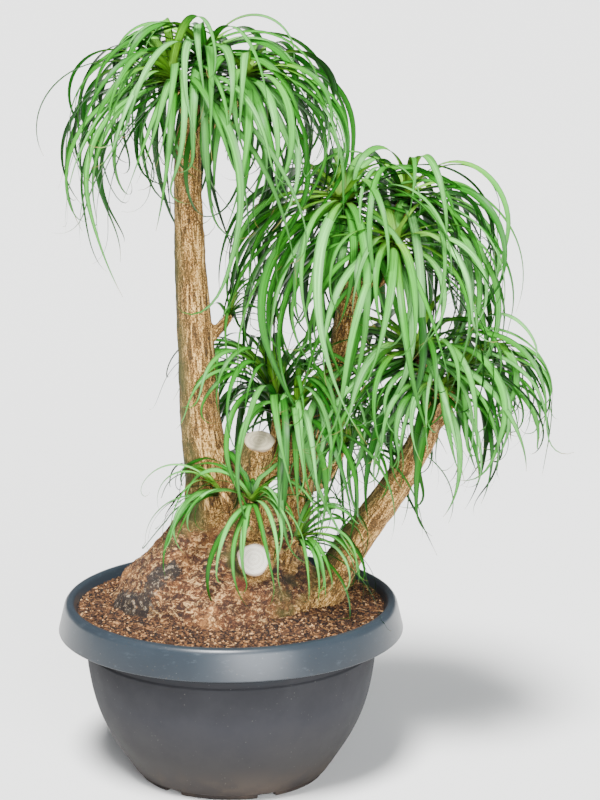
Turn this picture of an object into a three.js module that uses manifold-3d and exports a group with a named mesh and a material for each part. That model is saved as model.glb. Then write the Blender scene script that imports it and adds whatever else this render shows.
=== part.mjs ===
// Potted ponytail palm: a swollen caudex with three trunks and two sawn stumps, sixteen heads of
// arching strap leaves, in a bowl-shaped plastic nursery pot filled with soil.
// Millimetres, +Z up, origin at the centre of the pot's underside. The front of the plant faces -Y.

import * as THREE from 'three';
import { mergeVertices } from 'three/addons/utils/BufferGeometryUtils.js';
import Module from 'manifold-3d';

const wasm = await Module();
wasm.setup();

// Driving dimensions of the pot
const potHeight = 312;
const potRimRadius = 300;
const potSkirtHeight = 54;
const potMouthRadius = 272;
const potTopOuterRadius = 287;
const potWall = 4;
const potFootRadius = 162;
const potFootWidth = 11;
const potFootHeight = 8;
const potPadRadius = 112;
const potChannelDepth = 5;
const potSides = 36;
const drainHoles = 6;
const drainHoleRadius = 9;
const drainHoleSides = 10;
const drainNotchWidth = 34;
const drainNotchHeight = 6.2;
const drainNotchTurn = -67 * Math.PI / 180;

// Soil, and the clearance between pieces that touch
const soilEdgeHeight = 286;
const soilCrownHeight = 314;
const touchGap = 0.3;

// Outer outline of the bowl under the rim skirt: radius at height
const bowlOutline = [
  [170, 10], [190, 40], [215, 80], [233, 120], [244, 160], [251, 205], [251.5, 228],
  [249, 231], [249.5, 241], [247, 244], [247.5, 264], [267.5, 286],
];

// Caudex: how far it reaches to the left, right, front and back at each height
const caudexLevels = [
  { z: 205, left: 120, right: 100, front: 95, back: 90 },
  { z: 240, left: 180, right: 140, front: 140, back: 125 },
  { z: 278, left: 214, right: 158, front: 166, back: 140 },
  { z: 306, left: 214, right: 158, front: 163, back: 138 },
  { z: 338, left: 202, right: 146, front: 150, back: 130 },
  { z: 372, left: 174, right: 128, front: 128, back: 116 },
  { z: 402, left: 142, right: 116, front: 106, back: 102 },
  { z: 432, left: 110, right: 108, front: 84, back: 86 },
  { z: 464, left: 86, right: 98, front: 62, back: 68 },
  { z: 496, left: 72, right: 66, front: 46, back: 50 },
  { z: 530, left: 62, right: 22, front: 34, back: 36 },
];
const caudexSides = 20;
const caudexLump = 0.05;

// The two fat capsules that leaves treat the caudex as: ends with the radius at each
const caudexCores = [
  [[[-110, -10, 270], 112], [[-34, -4, 460], 62]],
  [[[0, -24, 270], 145], [[24, -8, 420], 92]],
];

// Limbs of wood: axis points with the radius at each
const trunkSides = 10;
const branchSides = 5;
const coreSides = 6;
const leftTrunk = [
  [[-22, 8, 440], 60], [[-30, 2, 500], 50], [[-34, 0, 540], 44], [[-48, 0, 616], 36],
  [[-56, 0, 730], 32], [[-65, 0, 880], 27], [[-68, 0, 1040], 23.5],
  [[-64, 0, 1120], 21], [[-58, 2, 1150], 15],
];
const middleTrunk = [
  [[70, 24, 380], 52], [[98, 30, 440], 38], [[112, 32, 490], 30], [[146, 38, 583], 25],
  [[182, 34, 704], 23], [[200, 28, 800], 21], [[216, 22, 880], 20], [[222, 20, 905], 15],
];
const rightTrunk = [
  [[96, -42, 262], 62], [[132, -24, 290], 46], [[168, -8, 330], 34], [[207, 0, 400], 30],
  [[267, 0, 487], 27], [[314, 0, 566], 24], [[338, 2, 612], 22], [[344, 4, 630], 15],
];
const sawnStump = [[[22, -14, 420], 42], [[34, -40, 498], 31], [[43, -51, 560], 28], [[51, -60, 607], 28.5]];
const sawnStumpFace = [0.08, -0.45, 0.89];
const sawnFlank = [[[30, -40, 396], 44], [[38, -92, 408], 33], [[42, -124, 417], 29.5]];
const sawnFlankFace = [0.16, -0.93, 0.33];
const barkRidge = 0.03;

// Leaf heads. tip: the point that the leaves spread from. lean: which way the head leans.
// fork: where its branch leaves the trunk or the caudex.
// length, width: of the longest leaves. low, high: rise of the oldest and youngest leaves in degrees.
// hang: how far below level their ends point, in degrees.
// leaves: how many have grown. gone: which of them have died or been cut off. blades: how many are modelled.
const heads = [
  { name: 'left_head_front', seed: 11, tip: [-98, -30, 1232], lean: [-0.5, -0.3], fork: [-62, 0, 1130],
    length: 466, width: 16.3, low: -17, high: 58, hang: 124, leaves: 145, blades: 22,
    gone: [0, 2, 3, 4, 5, 6, 8, 11, 14, 20, 22, 23, 24, 25, 26, 27, 28, 30, 32, 33, 34, 35, 39, 40, 41,
      42, 47, 49, 50, 51, 56, 58, 60, 61, 64, 65, 66, 67, 69, 72, 77, 78, 79, 80, 81, 86, 87, 89,
      93, 94, 95, 97, 98, 99, 100, 101, 102, 103, 104, 105, 107, 108, 110, 111, 112, 114, 116, 118,
      120, 121, 122, 123, 124, 127, 129, 131, 133, 143] },
  { name: 'left_head_back', seed: 412, tip: [-42, 44, 1261], lean: [-0.1, 0.4], fork: [-58, 4, 1135],
    length: 433, width: 18.5, low: -16, high: 56, hang: 137, leaves: 115, blades: 19,
    gone: [0, 1, 3, 5, 6, 7, 8, 15, 16, 17, 19, 26, 29, 33, 35, 36, 37, 38, 40, 43, 44, 46, 49, 53, 59,
      60, 62, 65, 66, 67, 69, 70, 72, 73, 74, 75, 76, 77, 78, 79, 80, 81, 82, 83, 85, 86, 87, 89,
      90, 91, 94, 95, 96, 98, 99, 101, 102, 104, 106, 109, 111] },
  { name: 'left_head_right', seed: 13, tip: [36, -14, 1239], lean: [0.35, -0.25], fork: [-54, -2, 1140],
    length: 397, width: 17.6, low: -6, high: 52, hang: 137, leaves: 126, blades: 21,
    gone: [2, 3, 6, 9, 13, 17, 19, 22, 24, 26, 27, 30, 32, 33, 34, 35, 37, 40, 42, 43, 46, 49, 51, 53,
      57, 59, 61, 62, 66, 67, 70, 71, 73, 74, 80, 81, 82, 83, 86, 87, 88, 89, 90, 91, 93, 94, 95,
      96, 100, 101, 103, 104, 105, 108, 111, 113, 115, 116, 119, 121, 124] },
  { name: 'middle_head_left', seed: 21, tip: [186, 4, 1025], lean: [-0.5, -0.3], fork: [214, 20, 880],
    length: 480, width: 19.3, low: -17, high: 44, hang: 124, leaves: 127, blades: 18,
    gone: [0, 1, 2, 4, 5, 7, 8, 9, 11, 12, 17, 18, 21, 30, 31, 33, 36, 37, 38, 40, 41, 43, 44, 45, 50,
      52, 56, 57, 61, 62, 67, 68, 70, 72, 73, 77, 80, 81, 83, 85, 86, 87, 89, 90, 91, 93, 94, 99,
      101, 102, 103, 104, 105, 106, 108, 111, 112, 116, 118, 119, 123, 125] },
  { name: 'middle_head_front', seed: 722, tip: [278, -66, 963], lean: [0.1, -0.5], fork: [226, 12, 870],
    length: 430, width: 18, low: -14, high: 44, hang: 124, leaves: 118, blades: 19,
    gone: [1, 3, 5, 6, 7, 8, 9, 11, 13, 15, 17, 19, 20, 22, 23, 25, 27, 31, 32, 35, 36, 37, 39, 40, 43,
      44, 46, 47, 48, 52, 53, 54, 55, 56, 57, 58, 65, 66, 67, 72, 76, 77, 79, 81, 82, 83, 85, 86,
      87, 88, 90, 92, 93, 95, 97, 100, 101, 102, 105, 109, 111, 112, 113, 115, 116] },
  { name: 'middle_head_right', seed: 23, tip: [306, 60, 1024], lean: [0.4, 0.3], fork: [224, 26, 884],
    length: 470, width: 15.5, low: -10, high: 54, hang: 146, leaves: 127, blades: 18,
    gone: [0, 1, 2, 3, 5, 9, 15, 16, 18, 20, 22, 25, 28, 29, 34, 35, 36, 40, 42, 44, 48, 50, 51, 55, 63,
      64, 65, 67, 68, 69, 70, 71, 73, 74, 77, 78, 79, 81, 83, 84, 85, 87, 88, 89, 93, 94, 96, 97,
      98, 99, 101, 102, 104, 105, 106, 107, 108, 109, 110, 112, 113, 114, 115, 116, 117, 118, 119,
      120, 122, 125] },
  { name: 'right_head_front', seed: 331, tip: [312, -40, 772], lean: [-0.35, -0.4], fork: [334, 0, 606],
    length: 446, width: 17.6, low: -14, high: 52, hang: 114, leaves: 109, blades: 17,
    gone: [0, 1, 3, 8, 10, 12, 15, 16, 17, 19, 22, 23, 25, 27, 29, 30, 35, 36, 37, 38, 40, 42, 43, 45,
      46, 47, 48, 49, 50, 51, 53, 55, 59, 61, 62, 63, 67, 68, 70, 71, 72, 74, 76, 84, 85, 87, 89,
      90, 91, 93, 94, 95, 97, 98, 99, 100, 101, 104, 105] },
  { name: 'right_head_low', seed: 32, tip: [364, -62, 715], lean: [0.3, -0.6], fork: [340, -4, 606],
    length: 304, width: 15.1, low: -4, high: 38, hang: 116, leaves: 64, blades: 13,
    gone: [0, 5, 7, 11, 12, 16, 19, 20, 21, 23, 25, 27, 28, 29, 32, 33, 35, 37, 40, 43, 44, 45, 46, 48,
      49, 53, 57, 58, 59, 60, 61, 62] },
  { name: 'right_head_back', seed: 2133, tip: [406, 52, 724], lean: [0.4, 0.3], fork: [342, 6, 614],
    length: 388, width: 15.7, low: -10, high: 62, hang: 132, leaves: 105, blades: 18,
    gone: [0, 4, 6, 10, 12, 15, 16, 18, 19, 20, 21, 23, 24, 26, 27, 28, 31, 33, 34, 35, 39, 42, 43, 44,
      50, 55, 56, 57, 60, 61, 62, 66, 68, 69, 71, 72, 73, 76, 77, 78, 79, 80, 82, 83, 84, 85, 86,
      87, 89, 91, 92, 93, 97, 98, 99, 100, 101] },
  { name: 'shoot_behind_stump', seed: 41, tip: [73, 16, 677], lean: [-0.2, 0], fork: [48, -10, 520],
    length: 432, width: 15.2, low: 27, high: 88, hang: 121, leaves: 109, blades: 12,
    gone: [0, 1, 3, 4, 6, 7, 8, 10, 12, 14, 16, 18, 22, 24, 26, 29, 30, 33, 36, 37, 40, 41, 44, 47, 53,
      55, 60, 64, 67, 68, 70, 71, 72, 73, 74, 75, 76, 77, 79, 80, 81, 82, 83, 84, 85, 87, 88, 89,
      90, 92, 94, 95, 96, 97, 98, 99, 102, 105, 106] },
  { name: 'shoot_centre', seed: 42, tip: [118, -28, 660], lean: [0.15, -0.1], fork: [116, 26, 520],
    length: 345, width: 15.6, low: 21, high: 76, hang: 122, leaves: 85, blades: 12,
    gone: [4, 9, 10, 11, 12, 13, 14, 18, 21, 23, 26, 27, 30, 31, 33, 36, 39, 40, 41, 42, 43, 44, 47, 51,
      52, 53, 55, 56, 58, 59, 61, 62, 65, 66, 67, 68, 71, 72, 73, 74, 75, 78, 79, 80, 81, 82, 83] },
  { name: 'shoot_front', seed: 151, tip: [38, -112, 526], lean: [-0.1, -0.6], fork: [32, -62, 440],
    length: 268, width: 11.6, low: 8, high: 66, hang: 122, leaves: 34, blades: 14,
    gone: [1, 4, 9, 12, 17, 25] },
  { name: 'shoot_right', seed: 452, tip: [122, -106, 458], lean: [0.55, -0.4], fork: [104, -50, 380],
    length: 262, width: 10.4, low: 12, high: 66, hang: 110, leaves: 40, blades: 9,
    gone: [4, 7, 12, 15, 17, 20, 23, 25, 28, 30, 33, 36, 38] },
  { name: 'shoot_left', seed: 153, tip: [-22, -76, 533], lean: [-0.6, -0.35], fork: [-14, -30, 470],
    length: 262, width: 9.6, low: 16, high: 70, hang: 108, leaves: 30, blades: 9,
    gone: [2, 4, 7, 9, 10, 12, 15, 17, 20, 22, 23, 25, 28] },
  { name: 'trunk_sprig', seed: 1854, tip: [7, 2, 828], lean: [0.5, 0], fork: [-52, 0, 770],
    length: 152, width: 9.3, low: 16, high: 79, hang: 40, leaves: 22, blades: 5,
    gone: [4, 7, 14, 18] },
  { name: 'shoot_behind_right', seed: 155, tip: [196, 96, 568], lean: [0.3, 0.3], fork: [138, 44, 500],
    length: 350, width: 11.8, low: 8, high: 74, hang: 105, leaves: 73, blades: 11,
    gone: [2, 3, 5, 8, 10, 11, 16, 18, 19, 20, 21, 26, 30, 35, 36, 37, 41, 46, 47, 48, 49, 50, 51, 54,
      55, 56, 57, 58, 60, 61, 62, 63, 64, 65, 66, 67, 68, 69, 70, 71] },
];

// Bud of a head with strap leaves, and of a shoot with leaves under shootWidth wide
const crownCore = { length: 56, radius: 19, branch: 12.5 };
const shootCore = { length: 30, radius: 13, branch: 8.5 };
const shootWidth = 12;

// How leaves vary from one to the next, shared by every head. Angles are in radians along the leaf,
// apart from riseJitter in degrees. Shares are of the head's own length, width or hang.
const pathSteps = 32;
const goldenAngle = 2.39996323;
const tierStep = 0.7548776662;
const azimuthJitter = 0.5;
const riseJitter = 16;
const rootSpread = 0.5;
const youngShortening = 0.25;
const shortestShare = 0.66;
const hangSpread = 0.22;
const sidewaysSway = 3.4;
const bladeTwist = 2.4;
const leastBreadth = 0.62;
const tipCurl = { share: 0.6, least: 6, most: 16 };
const longLeaf = { share: 0.16, stretch: 1.55, ease: 0.84 };
const taper = { root: 0.4, full: 0.12, from: 0.35, loss: 0.88 };
const woodClearance = 5;

// Rings of a modelled blade, counted in steps along its leaf
const bladeStations = [0, 3, 8, 13, 19, 25];
const shortBladeStations = [0, 3, 9, 16, 24];
const shortLeaf = 350;
const bladeDepth = 2.6;

const materials = {
  pot: new THREE.MeshStandardMaterial({ color: 0x4d5157, roughness: 0.55, metalness: 0 }),
  soil: new THREE.MeshStandardMaterial({ color: 0x6b4a38, roughness: 0.95, metalness: 0 }),
  wood: new THREE.MeshStandardMaterial({ color: 0xa98562, roughness: 0.9, metalness: 0 }),
  leaf: new THREE.MeshStandardMaterial({ color: 0x4f8f45, roughness: 0.5, metalness: 0 }),
};

const vector = (xyz) => new THREE.Vector3(...xyz);
const mix = (a, b, t) => a + (b - a) * t;
const ramp = (from, to, t) => THREE.MathUtils.smoothstep(t, from, to);

// A seeded source of numbers from 0 to 1, the same on every run
function makeRandom(seed) {
  let state = seed >>> 0;
  return () => {
    state = (state + 0x6d2b79f5) >>> 0;
    let t = Math.imul(state ^ (state >>> 15), state | 1);
    t ^= t + Math.imul(t ^ (t >>> 7), t | 61);
    return ((t ^ (t >>> 14)) >>> 0) / 4294967296;
  };
}

// Closed body through rings of equal size. Rings run counter-clockwise seen from the last ring.
function loftSolid(rings, tip = null) {
  const sides = rings[0].length;
  const vertices = rings.flat().flatMap((p) => [p.x, p.y, p.z]);
  const triangles = [];
  for (let k = 1; k < sides - 1; k++) triangles.push(0, k + 1, k);
  for (let r = 0; r < rings.length - 1; r++) {
    for (let k = 0; k < sides; k++) {
      const a = r * sides + k;
      const b = r * sides + (k + 1) % sides;
      triangles.push(a, b, b + sides, a, b + sides, a + sides);
    }
  }
  const last = (rings.length - 1) * sides;
  if (tip) {
    vertices.push(tip.x, tip.y, tip.z);
    for (let k = 0; k < sides; k++) triangles.push(last + k, last + (k + 1) % sides, last + sides);
  } else {
    for (let k = 1; k < sides - 1; k++) triangles.push(last, last + k, last + k + 1);
  }
  const mesh = new wasm.Mesh({
    numProp: 3, vertProperties: new Float32Array(vertices), triVerts: new Uint32Array(triangles),
  });
  return new wasm.Manifold(mesh);
}

function solidOf(geometry) {
  const plain = geometry.clone();
  plain.deleteAttribute('normal');
  plain.deleteAttribute('uv');
  const merged = mergeVertices(plain, 1e-4);
  return new wasm.Manifold(new wasm.Mesh({
    numProp: 3,
    vertProperties: new Float32Array(merged.attributes.position.array),
    triVerts: new Uint32Array(merged.index.array),
  }));
}

function geometryOf(solid) {
  const mesh = solid.getMesh();
  const geometry = new THREE.BufferGeometry();
  geometry.setAttribute('position', new THREE.BufferAttribute(mesh.vertProperties, 3));
  geometry.setIndex(new THREE.BufferAttribute(mesh.triVerts, 1));
  return geometry;
}

function namedMesh(name, solid, material) {
  const mesh = new THREE.Mesh(geometryOf(solid), material);
  mesh.name = name;
  return mesh;
}

// Solid of revolution about Z. The outline's points are [radius, height], from the axis back to it.
function turnedSolid(outline, sides) {
  const geometry = new THREE.LatheGeometry(outline.map(([r, z]) => new THREE.Vector2(r, z)), sides);
  geometry.rotateX(Math.PI / 2);
  return solidOf(geometry);
}

function shapePot() {
  const skirtFoot = potHeight - potSkirtHeight;
  const outside = [
    [0, 0], [potPadRadius, 0], [potPadRadius + 3, potChannelDepth],
    [potFootRadius - potFootWidth - 3, potChannelDepth], [potFootRadius - potFootWidth, 0],
    [potFootRadius, 0], [potFootRadius, potFootHeight], ...bowlOutline,
    [potMouthRadius + 2, potHeight - 2 * potWall], [potTopOuterRadius - 3, potHeight - 2 * potWall],
    [potRimRadius - potWall - 1, skirtFoot], [potRimRadius, skirtFoot + 1.5],
    [potTopOuterRadius + 2, potHeight - 6], [potTopOuterRadius - 4, potHeight],
    [potMouthRadius + 3, potHeight], [potMouthRadius, potHeight - 4],
  ];
  const body = turnedSolid([...outside, ...innerOutline()], potSides);
  const cutters = [];
  for (let k = 0; k < drainHoles; k++) {
    const turn = drainNotchTurn + k * 2 * Math.PI / drainHoles;
    const hole = new THREE.CylinderGeometry(drainHoleRadius, drainHoleRadius, 10 * potWall, drainHoleSides);
    hole.rotateX(Math.PI / 2);
    hole.translate((potPadRadius + potFootRadius - potFootWidth) / 2, 0, potChannelDepth);
    hole.rotateZ(turn);
    cutters.push(solidOf(hole));
    const notch = new THREE.BoxGeometry(2 * potFootWidth, drainNotchWidth, 2 * drainNotchHeight);
    notch.translate(potFootRadius - potFootWidth / 2, 0, 0);
    notch.rotateZ(turn);
    cutters.push(solidOf(notch));
  }
  return body.subtract(wasm.Manifold.union(cutters));
}

// Inside of the pot's wall, from the mouth down to the axis
function innerOutline() {
  return [
    [potMouthRadius - 9, soilEdgeHeight], [243, 264], [246, 205], [239.5, 160], [228.5, 120], [185.5, 40],
    [158, potChannelDepth + potWall], [0, potChannelDepth + potWall],
  ];
}

// Soil fills the pot and is mounded against the caudex, which stands in a hole in it
function shapeSoil(caudexHole) {
  const wall = innerOutline().reverse().map(([r, z]) => [
    r === 0 ? 0 : r - touchGap, z < 20 ? z + touchGap : z,
  ]);
  const surface = [[224, 298], [168, 308], [0, soilCrownHeight]];
  return turnedSolid([...wall, ...surface], potSides).subtract(caudexHole);
}

function caudexRing(level, grow) {
  const ring = [];
  for (let k = 0; k < caudexSides; k++) {
    const angle = k * 2 * Math.PI / caudexSides;
    const across = Math.cos(angle);
    const along = Math.sin(angle);
    const wave = Math.sin(3 * angle + level.z / 46) + 0.7 * Math.sin(5 * angle - level.z / 31);
    const lump = 1 + caudexLump * wave;
    const x = across * ((across > 0 ? level.right : level.left) * lump + grow);
    const y = along * ((along > 0 ? level.back : level.front) * lump + grow);
    ring.push(new THREE.Vector3(x, y, level.z));
  }
  return ring;
}

function shapeCaudex(grow = 0) {
  const rings = caudexLevels.map((level) => caudexRing(level, grow));
  if (grow > 0) rings[0].forEach((point) => { point.z -= grow; });
  return loftSolid(rings);
}

// A limb of wood with a ring across its axis at each point, and a flat end
function shapeLimb(stations, sides = trunkSides, endFace = null, grow = 0) {
  const points = stations.map(([p]) => vector(p));
  const side = new THREE.Vector3(1, 0, 0);
  const rings = stations.map(([, radius], k) => {
    const before = points[Math.max(k - 1, 0)];
    const after = points[Math.min(k + 1, points.length - 1)];
    let along = after.clone().sub(before).normalize();
    if (endFace && k === points.length - 1) along = vector(endFace).normalize();
    const u = side.clone().addScaledVector(along, -side.dot(along)).normalize();
    const v = along.clone().cross(u);
    return Array.from({ length: sides }, (_, n) => {
      const angle = n * 2 * Math.PI / sides;
      const r = radius * (1 + barkRidge * Math.sin(3 * angle + k * 1.7)) + grow;
      const point = points[k].clone().addScaledVector(u, r * Math.cos(angle));
      return point.addScaledVector(v, r * Math.sin(angle));
    });
  });
  return loftSolid(rings);
}

const coreOf = (head) => (head.width < shootWidth ? shootCore : crownCore);

function headAxis(head) {
  return new THREE.Vector3(head.lean[0], head.lean[1], 1).normalize();
}

// Branch from its fork to the foot of the head's leafy core
function branchStations(head) {
  const { length, branch } = coreOf(head);
  const axis = headAxis(head);
  const foot = vector(head.tip).addScaledVector(axis, -length);
  const fork = vector(head.fork);
  const bend = foot.clone().addScaledVector(axis, -0.45 * foot.distanceTo(fork));
  const middle = fork.clone().lerp(bend, 0.6);
  return [[fork.toArray(), branch + 4], [middle.toArray(), branch + 2], [foot.toArray(), branch]];
}

// Round obstacles that leaves slide off: each limb as a chain of tapered capsules
function capsulesOf(stations) {
  return stations.slice(1).map(([end, endRadius], k) => {
    const [start, startRadius] = stations[k];
    return { start: vector(start), end: vector(end), startRadius, endRadius };
  });
}

const obstacles = [
  leftTrunk, middleTrunk, rightTrunk, sawnStump, sawnFlank, ...caudexCores,
].flatMap(capsulesOf);

function slideClear(point) {
  for (const { start, end, startRadius, endRadius } of obstacles) {
    const span = end.clone().sub(start);
    const t = THREE.MathUtils.clamp(point.clone().sub(start).dot(span) / span.lengthSq(), 0, 1);
    const nearest = start.clone().addScaledVector(span, t);
    const reach = mix(startRadius, endRadius, t) + woodClearance;
    const away = point.clone().sub(nearest);
    if (away.length() < reach) point.copy(nearest).addScaledVector(away.normalize(), reach);
  }
  const mouth = Math.hypot(point.x, point.y) < potMouthRadius + 40;
  if (mouth && point.z < potHeight + woodClearance) point.z = potHeight + woodClearance;
}

// One leaf's midrib, with its width and the directions across it and out of its upper face
function growLeaf(head, index) {
  const random = makeRandom(head.seed * 1000 + index);
  const tier = (index * tierStep + 0.13) % 1;
  const azimuth = index * goldenAngle + head.seed + azimuthJitter * (random() - 0.5);
  const rise = THREE.MathUtils.degToRad(mix(head.low, head.high, tier) + riseJitter * (random() - 0.5));
  const long = random() < longLeaf.share && head.width > shootWidth;
  const stretch = long ? longLeaf.stretch : 1;
  const ease = long ? longLeaf.ease : 1;
  const share = (1 - youngShortening * tier * tier) * mix(shortestShare, 1, random());
  const length = head.length * share * stretch * ease;
  const hang = THREE.MathUtils.degToRad(head.hang * mix(1 - hangSpread, 1 + hangSpread, random()) * ease);
  const sway = sidewaysSway * (random() - 0.5);
  const twist = bladeTwist * (random() - 0.5);
  const curl = random() < tipCurl.share ? mix(tipCurl.least, tipCurl.most, random()) : 0;
  const curlTurn = 2 * Math.PI * random();
  const breadth = head.width * mix(leastBreadth, 1, random());
  const axis = headAxis(head);
  const radial = new THREE.Vector3(Math.cos(azimuth), Math.sin(azimuth), 0);
  radial.addScaledVector(axis, -radial.dot(axis)).normalize();
  const heading = radial.clone().multiplyScalar(Math.cos(rise)).addScaledVector(axis, Math.sin(rise));
  const core = coreOf(head);
  const point = vector(head.tip).addScaledVector(axis, -core.length * mix(0.72, 0.12, tier));
  point.addScaledVector(radial, core.radius * rootSpread * mix(1, 0.3, tier));
  const across = heading.clone().cross(new THREE.Vector3(0, 0, 1)).normalize();
  const turn = (Math.asin(heading.z) + hang) * stretch / pathSteps;
  const step = length / pathSteps;
  const stations = [];
  for (let k = 0; k <= pathSteps; k++) {
    const s = k / pathSteps;
    across.addScaledVector(heading, -across.dot(heading)).normalize();
    const upper = across.clone().cross(heading);
    const roll = twist * s;
    const fullness = mix(taper.root, 1, ramp(0, taper.full, s)) * (1 - taper.loss * ramp(taper.from, 1, s));
    stations.push({
      point: point.clone(),
      across: across.clone().multiplyScalar(Math.cos(roll)).addScaledVector(upper, Math.sin(roll)),
      upper: upper.clone().multiplyScalar(Math.cos(roll)).addScaledVector(across, -Math.sin(roll)),
      width: breadth * fullness,
    });
    const straighten = long ? 1 - 0.9 * ramp(0.9, 1.1, s * stretch) : 1;
    const bend = turn * mix(0.45, 1.13, ramp(0, 0.4, s * stretch)) * straighten;
    const curlNow = curl * ramp(0.7, 0.95, s) / pathSteps;
    heading.addScaledVector(upper, curlNow * Math.sin(curlTurn) - bend);
    heading.addScaledVector(across, curlNow * Math.cos(curlTurn) + sway * s / pathSteps);
    heading.normalize();
    point.addScaledVector(heading, step);
    if (k > 3) slideClear(point);
  }
  return stations;
}

// Three-sided keeled blade along a leaf to its pointed end, leaving out its first rings if asked
function shapeBlade(leaf, reach, first = 0, spare = 0) {
  const picked = (reach > shortLeaf ? bladeStations : shortBladeStations).slice(first);
  const rings = picked.map((k) => {
    const { point, across, upper, width } = leaf[k];
    const half = width / 2 + spare;
    const depth = bladeDepth * Math.min(1, 0.4 + width / 18);
    return [
      point.clone().addScaledVector(across, -half).addScaledVector(upper, depth / 3 + spare),
      point.clone().addScaledVector(across, half).addScaledVector(upper, depth / 3 + spare),
      point.clone().addScaledVector(upper, -depth * 2 / 3 - spare),
    ];
  });
  return loftSolid(rings, leaf[pathSteps].point);
}

// Bud that a head's leaves are rooted in, standing on the end of its branch
function shapeCore(head) {
  const { length, radius } = coreOf(head);
  const axis = headAxis(head);
  const foot = vector(head.tip).addScaledVector(axis, -length);
  const outline = [[touchGap, 0.75], [0.28 * length, 1], [0.9 * length, 0.5]];
  return shapeLimb(outline.map(([rise, fat]) => [
    foot.clone().addScaledVector(axis, rise).toArray(), radius * fat,
  ]), coreSides);
}

function boxesMeet(a, b) {
  return [0, 1, 2].every((k) => a.min[k] < b.max[k] && b.min[k] < a.max[k]);
}

function meets(probe, others) {
  const box = probe.boundingBox();
  return others.some(({ solid, bounds }) => boxesMeet(box, bounds) && !probe.intersect(solid).isEmpty());
}

const boxed = (solid) => ({ solid, bounds: solid.boundingBox() });

// Fuses into each head the leaves that pass clear of the wood, the pot and every other leaf
function shapeHeads(fixed) {
  const placed = heads.map((head) => ({ head, core: shapeCore(head), blades: [], free: [], next: 0 }));
  const taken = placed.map(({ core }) => [boxed(core)]);
  const fixedParts = fixed.map(boxed);
  const most = Math.max(...heads.map((head) => head.blades));
  for (let round = 0; round < most; round++) {
    placed.forEach((entry, own) => {
      const { head } = entry;
      while (entry.blades.length < Math.min(head.blades, round + 1) && entry.next < head.leaves) {
        const index = entry.next;
        entry.next += 1;
        if (head.gone.includes(index)) continue;
        const leaf = growLeaf(head, index);
        const wide = shapeBlade(leaf, head.length, 0, 0.5);
        if (meets(wide, fixedParts)) continue;
        if (taken.some((list, other) => other !== own && meets(wide, list))) continue;
        const blade = shapeBlade(leaf, head.length);
        const outside = blade.subtract(entry.core);
        if (meets(outside, entry.free)) continue;
        entry.blades.push(blade);
        entry.free.push(boxed(outside));
        taken[own].push(boxed(blade));
      }
    });
  }
  return placed.map(({ head, core, blades }) => {
    const solid = wasm.Manifold.union([core, ...blades]);
    return namedMesh(head.name, solid, materials.leaf);
  });
}

const caudex = shapeCaudex();
const limbs = [
  shapeLimb(leftTrunk), shapeLimb(middleTrunk), shapeLimb(rightTrunk),
  shapeLimb(sawnStump, trunkSides, sawnStumpFace), shapeLimb(sawnFlank, trunkSides, sawnFlankFace),
];
const branches = heads.map((head) => shapeLimb(branchStations(head), branchSides, headAxis(head).toArray()));
const wood = wasm.Manifold.union([caudex, ...limbs, ...branches]);
const buriedWood = wasm.Manifold.union([
  shapeCaudex(touchGap + 0.1), shapeLimb(rightTrunk, trunkSides, null, touchGap + 0.1),
]);
const pot = shapePot();
const soil = shapeSoil(buriedWood);

const palm = new THREE.Group();
palm.add(namedMesh('pot', pot, materials.pot));
palm.add(namedMesh('soil', soil, materials.soil));
palm.add(namedMesh('caudex_and_trunks', wood, materials.wood));
palm.add(...shapeHeads([pot, soil, wood]));

export default palm;
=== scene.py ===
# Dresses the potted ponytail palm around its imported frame: strap leaves, corky bark, sawn faces,
# potting mix and a moulded pot. Metres, +Z up, the front of the plant faces -Y.

import math
from functools import partial

import bpy
import numpy as np
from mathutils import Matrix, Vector


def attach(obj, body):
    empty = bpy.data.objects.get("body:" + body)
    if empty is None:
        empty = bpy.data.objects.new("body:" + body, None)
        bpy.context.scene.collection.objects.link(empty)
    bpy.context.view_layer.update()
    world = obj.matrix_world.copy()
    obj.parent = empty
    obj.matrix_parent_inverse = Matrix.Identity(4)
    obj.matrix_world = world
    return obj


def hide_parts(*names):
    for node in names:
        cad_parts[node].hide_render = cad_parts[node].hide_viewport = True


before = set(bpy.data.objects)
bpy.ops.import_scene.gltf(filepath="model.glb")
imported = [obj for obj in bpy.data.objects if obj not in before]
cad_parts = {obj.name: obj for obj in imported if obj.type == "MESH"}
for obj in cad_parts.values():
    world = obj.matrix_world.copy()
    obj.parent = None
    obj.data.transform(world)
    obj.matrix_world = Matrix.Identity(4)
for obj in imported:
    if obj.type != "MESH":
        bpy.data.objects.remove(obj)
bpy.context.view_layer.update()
mm = 0.001
print("frame loaded:", len(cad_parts), "nodes")


# Small tools

# sRGB hex such as 'b98d66' to linear RGBA
def linear(code):
    parts = [int(code[k:k + 2], 16) / 255 for k in (0, 2, 4)]
    return tuple(c / 12.92 if c <= 0.04045 else ((c + 0.055) / 1.055) ** 2.4 for c in parts) + (1.0,)


def mix(a, b, t):
    return a + (b - a) * t


def ramp(start, end, t):
    t = np.clip((t - start) / (end - start), 0, 1)
    return t * t * (3 - 2 * t)


def unit(v):
    return v / np.linalg.norm(v, axis=-1, keepdims=True)


def link(thing):
    bpy.context.scene.collection.objects.link(thing)
    return thing


def meshObject(name, vertices, faces=(), edges=(), scale=mm):
    mesh = bpy.data.meshes.new(name)
    mesh.from_pydata((np.asarray(vertices, float) * scale).tolist(), edges, faces)
    mesh.update()
    return link(bpy.data.objects.new(name, mesh))


def storeValues(mesh, name, values, kind="FLOAT"):
    layer = mesh.attributes.new(name, kind, "POINT")
    field = "value" if kind == "FLOAT" else "vector"
    layer.data.foreach_set(field, np.asarray(values, np.float32).ravel())


def pointsOf(mesh):
    places = np.empty(len(mesh.vertices) * 3)
    mesh.vertices.foreach_get("co", places)
    return places.reshape(-1, 3)


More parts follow.
